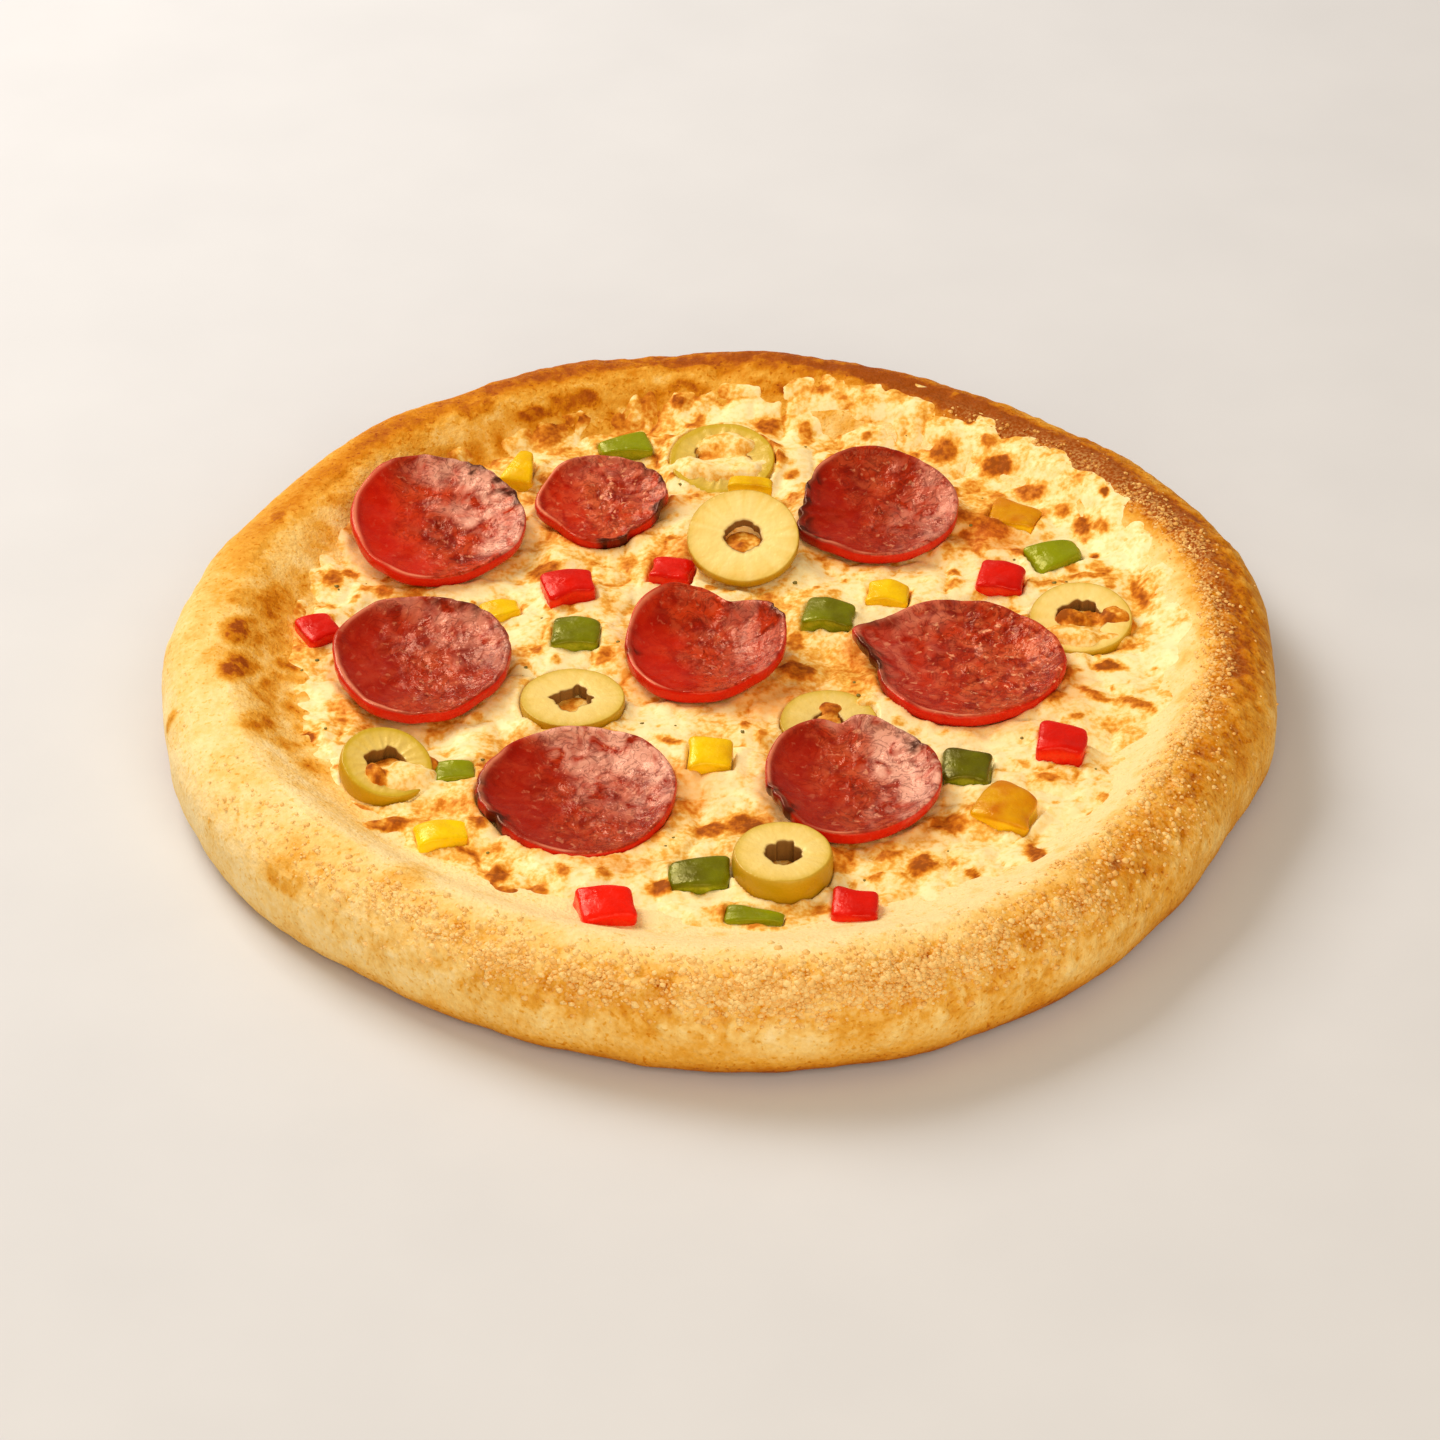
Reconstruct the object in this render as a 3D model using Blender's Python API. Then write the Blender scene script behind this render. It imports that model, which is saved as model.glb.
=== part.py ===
"""Pan pizza, 250 mm across, with pepperoni, green olive rings and diced sweet peppers.

The origin is the middle of the flat underside, +Z is up, +X is to the right and +Y to the
back. Sizes are worked out in millimetres and made metres when a mesh is written.
"""

import math
import random
from typing import NamedTuple

import bmesh
import bpy
import numpy as np

MM = 0.001
GAP = 0.3                   # left between two pieces that touch

# Crust: a thick disc whose rim stands round the topping
RADIUS = 125.5              # mean, at the widest height of the rim
RIM_HEIGHT = 25.0
RIM_HALF_WIDTH = 13.3       # from the rim's crest out to its widest
FLAT_INSET = 6.5            # the flat underside ends this far inside the widest
SIDE_POWER_LOW = 3.2        # squareness of the side below its widest, and above it
SIDE_POWER_HIGH = 2.2
SLOPE_FOOT = 95.0           # radius where the rim's inner slope starts to rise
OUTLINE_WAVES = ((2, 0.9, 90), (3, 1.0, 46), (4, 1.3, 13), (5, 0.5, 2))
SHOULDER = (1.2, 20, 9)     # one swelling of the outline: size, direction, half spread
CREST_WAVES = ((4, 0.5, 20), (7, 0.45, 75), (11, 0.3, 10))
CRUST_RIPPLE = 0.28
CRUST_RIPPLE_LENGTH = 38.0

# Cheese: a melted layer that fills the rim's hollow and runs a little way up its slope
CHEESE_LEVEL = 17.0
CHEESE_THICK = 5.0
CHEESE_EDGE_THICK = 1.6
CHEESE_LIP = 0.5            # the cheese's edge ends this far under the crust beside it
CHEESE_RADIUS = 100.5
CHEESE_WAVES = ((1, 3.6, 50), (5, 0.7, 12), (9, 0.6, 33))
CHEESE_RIPPLES = ((5, 31.0, 0.5), (8, 17.0, 0.32))   # seed, wave length, usual height

SECTORS = 64                # of the crust and the cheese
SLICE_SECTORS = 24
RING_SECTORS = 20
POCKET_RISE = 14.0          # how far a topping's pocket is open above the topping


class Mound(NamedTuple):
    """A hump in the cheese that props a topping up."""

    x: float
    y: float
    height: float
    spread: float


class Slice(NamedTuple):
    """One thin round slice of pepperoni, cupped by the heat of the oven."""

    x: float
    y: float
    across: float
    rise: float             # its middle's underside above the cheese
    cup: float              # how far its edge stands above its middle
    lean: float = 0.0       # tilt, and the compass direction of its low side
    lean_way: float = -90.0
    flaps: tuple = ()       # parts of the edge that curl up: height, direction, half spread
    tip: float = 0.0        # one part of the edge runs out to a point
    tip_way: float = 180.0
    tip_spread: float = 16.0
    wave: float = 0.03      # unevenness of the outline, as a share of the radius
    wave_turn: float = 0.0


class Ring(NamedTuple):
    """One cross slice of a pitted green olive."""

    x: float
    y: float
    across: float
    hole: float
    thick: float
    top: float              # middle of its upper face above the cheese
    lean: float = 0.0
    lean_way: float = -90.0
    hole_sides: int = 4
    hole_wave: float = 0.06
    oval: float = 0.0       # how much longer than wide, as a share, towards oval_way
    oval_way: float = 0.0


class Die(NamedTuple):
    """One chopped piece of sweet pepper: a block with soft edges and a curved back."""

    x: float
    y: float
    wide: float
    deep: float
    tall: float
    top: float              # its upper face above the cheese
    turn: float = 0.0
    lean: float = 0.0
    lean_way: float = -90.0
    taper: float = 0.1      # its +X end is narrower than its -X end by this share
    arch: float = 0.6       # how far its middle stands above its two ends


MOUNDS = (
    Mound(5.5, 48.0, 8.5, 8.5),
    Mound(-71.0, 62.0, 2.2, 12.0),
    Mound(2.0, 88.0, 1.8, 9.0),
    Mound(84.0, 23.0, 1.8, 8.0),
)

SLICES = (
    Slice(-66.5, 48.4, 40.8, 1.9, 1.6, lean=12, lean_way=-72, wave_turn=20),
    Slice(-27.4, 60.0, 28.4, 0.9, 1.3, lean=13, tip=2.6, tip_way=184, tip_spread=26,
          wave=0.05, wave_turn=50),
    Slice(36.6, 56.0, 36.4, 1.7, 1.8, lean=12, lean_way=-80, tip=3.6, tip_way=208),
    Slice(-4.0, 0.6, 36.4, -0.8, 1.8, lean=3,
          flaps=((4.6, 124, 42), (5.2, 20, 34), (1.5, -40, 30))),
    Slice(55.0, -3.4, 43.0, -0.8, 2.8, lean=3, tip=6.0, tip_way=161, tip_spread=13,
          flaps=((1.6, 161, 24),)),
    Slice(-67.1, -5.0, 40.2, 0.2, 2.0, lean=7, wave_turn=75),
    Slice(-30.9, -51.8, 42.0, 0.0, 2.2, lean=5, lean_way=-70, tip=1.6, tip_way=186,
          tip_spread=20, wave_turn=110),
    Slice(27.8, -49.4, 38.8, 0.9, 1.9, lean=5, flaps=((2.4, 214, 28),), wave=0.04,
          wave_turn=15),
)
SLICE_THICK = 3.2

RINGS = (
    Ring(5.0, 39.8, 26.0, 8.4, 2.8, 6.6, lean=21, lean_way=-92, hole_wave=0.03),
    Ring(-33.2, -16.7, 23.4, 8.6, 3.4, 1.9, lean=2, lean_way=90, hole_wave=0.12),
    Ring(13.0, -77.0, 21.4, 7.6, 7.0, 5.4, lean=1, hole_sides=5, hole_wave=0.16),
    Ring(23.6, -23.6, 21.6, 6.6, 3.6, 0.9, lean=1),
    Ring(0.2, 81.0, 25.4, 13.0, 4.4, 2.3, lean=9, hole_sides=7, hole_wave=0.08),
    Ring(-72.8, -43.7, 20.6, 9.0, 5.2, 3.4, lean=15, lean_way=-50, hole_wave=0.1,
         oval=0.04, oval_way=130),
    Ring(81.5, 14.0, 23.4, 11.0, 4.0, 2.2, lean=9, lean_way=-100, hole_wave=0.08),
)

RED_DICE = (
    Die(-91.4, 10.6, 9.0, 8.6, 5.0, 2.8, turn=32, lean=6, lean_way=-10),
    Die(-34.7, 26.2, 11.4, 8.4, 5.0, 3.0, turn=14, lean=5, taper=0.16),
    Die(-11.6, 35.0, 10.6, 7.6, 4.6, 1.9, turn=-12, taper=0.0),
    Die(64.6, 30.2, 10.0, 8.4, 5.2, 3.2, turn=-14, lean=6),
    Die(74.6, -34.2, 9.8, 9.4, 5.6, 3.6, turn=-8, lean=5, lean_way=-60),
    Die(-24.4, -92.6, 11.6, 10.2, 6.4, 4.6, turn=8, lean=8, lean_way=-75),
    Die(28.1, -90.4, 9.4, 8.4, 5.4, 3.4, turn=-6, lean=6),
)
GREEN_DICE = (
    Die(-23.0, 87.0, 12.0, 6.6, 4.4, 2.6, turn=16, lean=4, taper=-0.3),
    Die(-33.1, 8.6, 10.6, 9.0, 4.8, 2.8, turn=-4, lean=4),
    Die(24.0, 15.4, 11.0, 8.2, 4.6, 2.7, turn=-12, lean=4, arch=1.0),
    Die(77.2, 40.6, 12.0, 7.8, 4.6, 3.2, turn=24, lean=8, taper=0.3, arch=1.2),
    Die(-58.2, -43.0, 8.2, 6.8, 4.0, 2.0, turn=4),
    Die(53.6, -42.2, 10.4, 10.0, 5.4, 3.2, turn=-6, lean=6, arch=0.9),
    Die(-4.8, -79.6, 12.0, 8.6, 5.0, 3.2, turn=4, lean=6, taper=-0.1, arch=1.0),
    Die(6.8, -92.8, 12.4, 4.4, 4.0, 1.4, turn=-8, taper=0.3),
)
YELLOW_DICE = (
    Die(-47.7, 74.6, 10.4, 5.6, 5.0, 3.6, turn=78, lean=10, taper=0.45),
    Die(7.0, 66.8, 10.8, 4.0, 6.4, 5.6, turn=-4, taper=0.1, arch=0.9),
    Die(68.8, 58.0, 11.0, 9.0, 4.4, 1.7, turn=-22, lean=3, taper=0.2),
    Die(38.3, 24.4, 9.6, 7.4, 4.8, 2.9, turn=-8, lean=5),
    Die(-50.3, 20.6, 9.0, 6.0, 4.2, 2.2, turn=20, taper=0.2),
    Die(-2.5, -37.8, 10.2, 8.8, 5.8, 3.7, turn=-4, lean=8, lean_way=-80),
    Die(-60.3, -65.6, 10.6, 7.2, 4.4, 2.3, turn=12, taper=0.15, arch=1.2),
    Die(62.0, -57.0, 12.6, 11.0, 5.2, 3.2, turn=-28, lean=6, taper=0.15, arch=1.2),
)
DIE_ROUND = 0.17            # a die's corners are pulled in by this share

# Colours as baked: colour, then roughness
LOOKS = {
    "crust": ((0.80, 0.52, 0.22), 0.75),
    "cheese": ((0.93, 0.78, 0.46), 0.45),
    "pepperoni": ((0.50, 0.07, 0.04), 0.35),
    "olive": ((0.80, 0.72, 0.30), 0.35),
    "red_pepper": ((0.78, 0.03, 0.02), 0.30),
    "green_pepper": ((0.25, 0.40, 0.05), 0.35),
    "yellow_pepper": ((0.95, 0.62, 0.04), 0.35),
}


def clear_scene():
    """Remove whatever the file held before."""
    for item in list(bpy.data.objects):
        bpy.data.objects.remove(item, do_unlink=True)


def make_material(name):
    """A plain glossy or matt surface of one colour."""
    colour, roughness = LOOKS[name]
    material = bpy.data.materials.new(name)
    material.use_nodes = True
    shader = material.node_tree.nodes["Principled BSDF"]
    shader.inputs["Base Color"].default_value = (*colour, 1.0)
    shader.inputs["Roughness"].default_value = roughness
    shader.inputs["Metallic"].default_value = 0.0
    return material


def waves(turn, terms):
    """Sum of cosines round a circle: each term is a count, a height and a peak in degrees."""
    total = np.zeros(np.shape(turn))
    for count, height, peak in terms:
        total = total + height * np.cos(count * (turn - math.radians(peak)))
    return total


def bump(turn, way, spread):
    """One smooth bump round a circle: 1 at the direction `way`, fading over `spread`."""
    away = np.angle(np.exp(1j * (turn - math.radians(way))))
    return np.exp(-(away / math.radians(spread)) ** 2)


def ripple(x, y, seed, length, height):
    """Uneven relief: eight plane waves in seeded directions, of about one wave length."""
    draw = random.Random(seed)
    count = 8
    total = np.zeros(np.shape(x))
    for _ in range(count):
        way = draw.uniform(0, math.tau)
        pitch = math.tau / (length * draw.uniform(0.75, 1.35))
        shift = draw.uniform(0, math.tau)
        total = total + np.cos(pitch * (x * math.cos(way) + y * math.sin(way)) + shift)
    return height * total / math.sqrt(count / 2)


def outline(turn):
    """Radius of the crust at its widest."""
    size, way, spread = SHOULDER
    return RADIUS + waves(turn, OUTLINE_WAVES) + size * bump(turn, way, spread)


def crest_height(turn):
    """Height of the rim's crest, which goes gently up and down round the pizza."""
    return RIM_HEIGHT + waves(turn, CREST_WAVES)


def bowl(radius, turn):
    """Height of the hollow's inside: level, then rising to the crest in an S curve."""
    crest = outline(turn) - RIM_HALF_WIDTH
    along = np.clip((radius - SLOPE_FOOT) / (crest - SLOPE_FOOT), 0, 1)
    smooth = along * along * (3 - 2 * along)
    return CHEESE_LEVEL + (crest_height(turn) - CHEESE_LEVEL) * smooth


def cheese_radius(turn):
    """Radius where the cheese ends: further out towards the back on the right."""
    return CHEESE_RADIUS + waves(turn, CHEESE_WAVES)


def cheese_floor(share, turn):
    """Height of the crust under the cheese, at a share of the cheese's radius."""
    thin = np.clip((share - 0.8) / 0.2, 0, 1) ** 2
    thick = CHEESE_THICK + (CHEESE_EDGE_THICK - CHEESE_THICK) * thin
    return bowl(share * cheese_radius(turn), turn) - thick


def cheese_height(x, y):
    """Height of the cheese's surface without its mounds."""
    radius = np.hypot(x, y)
    turn = np.arctan2(y, x)
    share = radius / cheese_radius(turn)
    relief = sum(ripple(x, y, *terms) for terms in CHEESE_RIPPLES)
    fade = 1 - np.clip((share - 0.82) / 0.18, 0, 1) ** 2
    return bowl(radius, turn) + 0.3 + relief * fade


def mound_height(x, y):
    """Height that the mounds add to the cheese."""
    total = np.zeros(np.shape(x))
    for mound in MOUNDS:
        away = np.hypot(x - mound.x, y - mound.y) / mound.spread
        total = total + mound.height * np.exp(-away ** 2)
    return total


def polar_row(radius, height, turn):
    """A row of points round the pizza."""
    x = radius * np.cos(turn)
    y = radius * np.sin(turn)
    return np.stack([x, y, height + np.zeros(len(turn))], axis=1)


def pole(height):
    """A row of one point on the axis."""
    return np.array([[0.0, 0.0, height]])


def shell(rows, closed=False):
    """Points and triangles of a surface through rows of points.

    A row of one point is a pole. A closed shell joins its last row to its first. The
    rows run from the underside's middle out, up and back in, each anticlockwise.
    """
    starts = np.cumsum([0] + [len(row) for row in rows])
    count = max(len(row) for row in rows)
    pairs = [(k, k + 1) for k in range(len(rows) - 1)]
    if closed:
        pairs.append((len(rows) - 1, 0))
    faces = []
    for low, high in pairs:
        for i in range(count):
            j = (i + 1) % count
            if len(rows[low]) > 1:
                low_i, low_j = starts[low] + i, starts[low] + j
            else:
                low_i = low_j = starts[low]
            if len(rows[high]) > 1:
                high_i, high_j = starts[high] + i, starts[high] + j
            else:
                high_i = high_j = starts[high]
            if low_i != low_j:
                faces.append((low_i, low_j, high_j))
            if high_i != high_j:
                faces.append((low_i, high_j, high_i))
    return np.concatenate(rows), faces


def make_object(name, points, faces, material):
    """A named object from points in millimetres."""
    mesh = bpy.data.meshes.new(name)
    mesh.from_pydata([tuple(point) for point in points * MM], [], faces)
    mesh.materials.append(material)
    mesh.shade_smooth()
    mesh.set_sharp_from_angle(angle=math.radians(50))
    piece = bpy.data.objects.new(name, mesh)
    bpy.context.scene.collection.objects.link(piece)
    return piece


def crust_rows():
    """Rows of the crust from its underside's middle, over the rim, to under the cheese."""
    turn = np.arange(SECTORS) * math.tau / SECTORS
    widest = outline(turn)
    half = crest_height(turn) / 2
    rows = [pole(0.0)]
    rows.append(polar_row(0.5 * (widest - FLAT_INSET), 0.0, turn))
    rows.append(polar_row(widest - FLAT_INSET, 0.0, turn))
    for degrees in (-58, -38, -16, 6, 26, 44, 60, 75, 90):
        angle = math.radians(degrees)
        power = SIDE_POWER_LOW if degrees < 0 else SIDE_POWER_HIGH
        out = RIM_HALF_WIDTH * (math.cos(angle) ** (2 / power) - 1)
        up = math.copysign(abs(math.sin(angle)) ** (2 / power), angle)
        radius = widest + out
        height = half * (1 + up)
        x = radius * np.cos(turn) + 0.7 * height
        y = radius * np.sin(turn) - 0.5 * height
        swell = ripple(x, y, 3, CRUST_RIPPLE_LENGTH, CRUST_RIPPLE)
        rows.append(polar_row(radius + swell, height + 0.5 * swell * up, turn))
    crest = widest - RIM_HALF_WIDTH
    edge = cheese_radius(turn) + GAP
    for share in (0.3, 0.55, 0.78, 1.0):
        radius = crest + (edge - crest) * share
        x = radius * np.cos(turn)
        y = radius * np.sin(turn)
        swell = ripple(x, y, 4, CRUST_RIPPLE_LENGTH, CRUST_RIPPLE * (1 - share))
        rows.append(polar_row(radius, bowl(radius, turn) + swell, turn))
    rows.append(polar_row(edge, cheese_floor(1.0, turn), turn))
    for share in (0.93, 0.86, 0.45):
        rows.append(polar_row(share * cheese_radius(turn), cheese_floor(share, turn), turn))
    rows.append(pole(CHEESE_LEVEL - CHEESE_THICK))
    return rows


def cheese_rows():
    """Rows of the cheese from its underside's middle, round its edge, to its top's middle."""
    turn = np.arange(SECTORS) * math.tau / SECTORS
    edge = cheese_radius(turn)
    rows = [pole(CHEESE_LEVEL - CHEESE_THICK + GAP)]
    for share in (0.45, 0.86, 0.93, 1.0):
        rows.append(polar_row(share * edge, cheese_floor(share, turn) + GAP, turn))
    rows.append(polar_row(edge, bowl(edge, turn) - CHEESE_LIP, turn))
    for share in (0.97, 0.92, 0.84, 0.75, 0.65, 0.55, 0.45, 0.34, 0.23, 0.11):
        row = polar_row(share * edge, 0.0, turn)
        row[:, 2] = cheese_height(row[:, 0], row[:, 1]) + mound_height(row[:, 0], row[:, 1])
        rows.append(row)
    rows.append(pole(float(cheese_height(0.0, 0.0))))
    return rows


def settle(points, x, y, z, lean, lean_way):
    """Tip points about their origin so that they lean down towards lean_way, then move them."""
    tilt = math.radians(lean)
    way = math.radians(lean_way)
    along = points[:, 0] * math.cos(way) + points[:, 1] * math.sin(way)
    across = points[:, 1] * math.cos(way) - points[:, 0] * math.sin(way)
    up = points[:, 2]
    along_new = along * math.cos(tilt) + up * math.sin(tilt)
    up_new = up * math.cos(tilt) - along * math.sin(tilt)
    x_new = x + along_new * math.cos(way) - across * math.sin(way)
    y_new = y + along_new * math.sin(way) + across * math.cos(way)
    return np.stack([x_new, y_new, z + up_new], axis=1)


def slice_row(item, share, side, turn, grow):
    """One ring of points of a slice: a share of its radius out, on its upper or under side.

    The edge stands up as the fourth power of the share, so the middle stays level.
    """
    radius = item.across / 2 * (1 + item.wave * np.cos(3 * turn - math.radians(item.wave_turn)))
    radius = radius + item.tip * bump(turn, item.tip_way, item.tip_spread)
    out = share * (radius + grow)
    height = item.cup * share ** 4
    for flap, way, spread in item.flaps:
        height = height + flap * share ** 3 * bump(turn, way, spread)
    height = height + SLICE_THICK / 2 * (1 + side) + math.copysign(grow, side)
    return polar_row(out, height, turn)


def slice_rows(item, steps, grow=0.0):
    """Rings of points of a slice between the middles of its under and upper faces."""
    turn = np.arange(SLICE_SECTORS) * math.tau / SLICE_SECTORS
    rows = [pole(-grow)]
    rows += [slice_row(item, share, side, turn, grow) for share, side in steps]
    rows.append(pole(SLICE_THICK + grow))
    base = float(cheese_height(item.x, item.y)) + item.rise
    return [settle(row, item.x, item.y, base, item.lean, item.lean_way) for row in rows]


def slice_solid(item):
    """Points and triangles of a pepperoni slice with a rounded edge."""
    steps = ((0.7, -1), (0.97, -0.8), (1.0, -0.1), (0.97, 0.8), (0.84, 1), (0.5, 1))
    return shell(slice_rows(item, steps))


def slice_pocket(item):
    """The room a slice takes out of the cheese and the crust, open upwards."""
    rows = slice_rows(item, ((0.7, -1), (1.0, -1), (1.0, 1), (1.0, 1)), GAP)
    return shell(raise_rows(rows, (-2, -1)))


def ring_rows(item, steps, grow=0.0):
    """Rings of points of an olive ring: each step says hole or outside, an inset and a depth."""
    turn = np.arange(RING_SECTORS) * math.tau / RING_SECTORS
    oval = 1 + item.oval / 2 * np.cos(2 * (turn - math.radians(item.oval_way)))
    outside = item.across / 2 * oval + grow
    hole = item.hole / 2 * (1 + item.hole_wave * np.cos(item.hole_sides * turn + 0.8)) - grow
    base = float(cheese_height(item.x, item.y)) + item.top
    rows = []
    for edge, inset, depth in steps:
        radius = hole if edge == "hole" else outside - inset * item.thick
        height = grow * (1 - 2 * depth) - depth * item.thick
        row = polar_row(radius, height, turn)
        rows.append(settle(row, item.x, item.y, base, item.lean, item.lean_way))
    return rows


def ring_solid(item):
    """Points and triangles of an olive ring: flat cut faces and a rounded skin."""
    steps = (
        ("hole", 0, 1),
        ("outside", 0.22, 1),
        ("outside", 0, 0.7),
        ("outside", 0, 0.3),
        ("outside", 0.16, 0),
        ("hole", 0, 0),
    )
    return shell(ring_rows(item, steps), closed=True)


def ring_pocket(item):
    """The room an olive ring takes, open upwards, which leaves the cheese in its hole."""
    steps = (
        ("hole", 0, 1),
        ("outside", 0, 1),
        ("outside", 0, 0),
        ("outside", 0, 0),
        ("hole", 0, 0),
        ("hole", 0, 0),
    )
    return shell(raise_rows(ring_rows(item, steps, GAP), (3, 4)), closed=True)


def raise_rows(rows, numbers):
    """Lift some rows straight up, so that a pocket stays open above its topping."""
    for number in numbers:
        rows[number] = rows[number] + np.array([0.0, 0.0, POCKET_RISE])
    return rows


def die_shape(item, block, grow=0.0):
    """Carry the points of a block from -1 to 1 each way to a die's size and place."""
    u = block[:, 0]
    x = u * (item.wide / 2 + grow)
    y = block[:, 1] * (item.deep / 2 * (1 - item.taper * u) + grow)
    z = block[:, 2] * (item.tall / 2 + grow) - item.tall / 2 - item.arch * u * u
    turn = math.radians(item.turn)
    x_new = x * math.cos(turn) - y * math.sin(turn)
    y_new = x * math.sin(turn) + y * math.cos(turn)
    base = float(cheese_height(item.x, item.y)) + item.top
    local = np.stack([x_new, y_new, z], axis=1)
    return settle(local, item.x, item.y, base, item.lean, item.lean_way)


def die_solid(item):
    """Points and triangles of a die, its edges and corners pulled in from a plain block."""
    block = bmesh.new()
    bmesh.ops.create_cube(block, size=2.0)
    bmesh.ops.subdivide_edges(block, edges=block.edges[:], cuts=1, use_grid_fill=True)
    bmesh.ops.triangulate(block, faces=block.faces[:])
    points = np.array([tuple(vert.co) for vert in block.verts])
    faces = [tuple(vert.index for vert in face.verts) for face in block.faces]
    block.free()
    u, v, w = np.abs(points.T)
    pull = 1 - DIE_ROUND / 3 * (u * v + v * w + w * u)
    return die_shape(item, points * pull[:, None]), faces


def die_pocket(item):
    """The room a die takes: the hull of its plain grown block and of that block raised."""
    corners = [(u, v, w) for u in (-1, 1) for v in (-1, 1) for w in (-1, 1)]
    low = die_shape(item, np.array(corners, dtype=float), GAP)
    both = np.concatenate([low, low + np.array([0.0, 0.0, POCKET_RISE])])
    hull = bmesh.new()
    for point in both:
        hull.verts.new(tuple(point))
    found = bmesh.ops.convex_hull(hull, input=hull.verts[:])
    loose = [part for part in found["geom_interior"] if isinstance(part, bmesh.types.BMVert)]
    bmesh.ops.delete(hull, geom=loose, context="VERTS")
    bmesh.ops.recalc_face_normals(hull, faces=hull.faces[:])
    hull.verts.index_update()
    points = np.array([tuple(vert.co) for vert in hull.verts])
    faces = [tuple(vert.index for vert in face.verts) for face in hull.faces]
    hull.free()
    return points, faces


def add_pocket(name, points, faces, material, pockets):
    """A hidden cutter in the collection of pockets."""
    cutter = make_object(name, points, faces, material)
    bpy.context.scene.collection.objects.unlink(cutter)
    pockets.objects.link(cutter)
    cutter.hide_render = True
    cutter.display_type = "WIRE"


def cut_pockets(piece, pockets):
    """Take the toppings' pockets out of a piece."""
    cut = piece.modifiers.new("pockets", "BOOLEAN")
    cut.operation = "DIFFERENCE"
    cut.operand_type = "COLLECTION"
    cut.collection = pockets
    cut.solver = "EXACT"


def build():
    """The whole pizza."""
    clear_scene()
    materials = {name: make_material(name) for name in LOOKS}
    pockets = bpy.data.collections.new("pockets")
    bpy.context.scene.collection.children.link(pockets)

    pizza = bpy.data.objects.new("pizza", None)
    bpy.context.scene.collection.objects.link(pizza)

    crust = make_object("crust", *shell(crust_rows()), materials["crust"])
    cheese = make_object("cheese", *shell(cheese_rows()), materials["cheese"])
    pieces = [crust, cheese]

    for number, item in enumerate(SLICES, start=1):
        name = f"pepperoni_{number}"
        pieces.append(make_object(name, *slice_solid(item), materials["pepperoni"]))
        add_pocket(name + "_pocket", *slice_pocket(item), materials["cheese"], pockets)

    for number, item in enumerate(RINGS, start=1):
        name = f"olive_ring_{number}"
        pieces.append(make_object(name, *ring_solid(item), materials["olive"]))
        add_pocket(name + "_pocket", *ring_pocket(item), materials["cheese"], pockets)

    kinds = (("red_pepper", RED_DICE), ("green_pepper", GREEN_DICE), ("yellow_pepper", YELLOW_DICE))
    for kind, dice in kinds:
        for number, item in enumerate(dice, start=1):
            name = f"{kind}_{number}"
            pieces.append(make_object(name, *die_solid(item), materials[kind]))
            add_pocket(name + "_pocket", *die_pocket(item), materials["cheese"], pockets)

    for piece in pieces:
        piece.parent = pizza
    for piece in (crust, cheese):
        cut_pockets(piece, pockets)


build()
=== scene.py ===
import itertools
import math
import random
from typing import NamedTuple

import bpy
import numpy as np
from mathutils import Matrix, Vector


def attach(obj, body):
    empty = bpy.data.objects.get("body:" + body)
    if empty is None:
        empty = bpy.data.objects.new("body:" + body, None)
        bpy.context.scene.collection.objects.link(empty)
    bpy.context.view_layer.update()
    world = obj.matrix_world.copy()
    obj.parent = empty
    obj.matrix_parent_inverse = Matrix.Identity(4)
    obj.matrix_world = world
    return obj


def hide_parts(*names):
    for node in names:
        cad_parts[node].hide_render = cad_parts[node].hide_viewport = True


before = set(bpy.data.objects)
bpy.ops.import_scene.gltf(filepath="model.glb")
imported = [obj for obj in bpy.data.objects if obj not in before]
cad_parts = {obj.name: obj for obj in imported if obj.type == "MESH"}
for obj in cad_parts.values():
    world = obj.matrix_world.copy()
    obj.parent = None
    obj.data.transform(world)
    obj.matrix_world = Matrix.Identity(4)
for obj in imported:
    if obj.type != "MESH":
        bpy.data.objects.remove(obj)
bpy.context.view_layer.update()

MM = 0.001                  # everything below is worked out in millimetres


# Camera: in front of the pizza and above it, with a long lens, as the picture was taken
VIEW_CENTRE = np.array([-0.4, -1.8, 2.0])
VIEW_RISE = math.radians(36.28)
VIEW_AWAY = 1124.8
LENS = 124.0
FILM = 36.0
PICTURE = 1440              # the picture's side in pixels

view_back = np.array([0.0, -math.cos(VIEW_RISE), math.sin(VIEW_RISE)])
view_up = np.array([0.0, math.sin(VIEW_RISE), math.cos(VIEW_RISE)])
view_place = VIEW_CENTRE + VIEW_AWAY * view_back
view = bpy.data.objects.new("view", bpy.data.cameras.new("view"))
view.data.lens = LENS
view.data.sensor_width = FILM
view.location = Vector(view_place * MM)
view.rotation_euler = (math.pi / 2 - VIEW_RISE, 0.0, 0.0)
bpy.context.scene.collection.objects.link(view)
bpy.context.scene.camera = view
bpy.context.scene.view_settings.view_transform = "Standard"


# Floor and light: a pale floor, one soft light from the back on the left, which throws the
# shadows to the front on the right, a wider and warmer one in front, and a dim warm sky.
def tint(red, green, blue):
    """A colour given as it is seen, each part from 0 to 255, made linear."""
    seen = np.array([red, green, blue]) / 255
    linear = np.where(seen <= 0.04045, seen / 12.92, ((seen + 0.055) / 1.055) ** 2.4)
    return (*linear.tolist(), 1.0)


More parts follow.
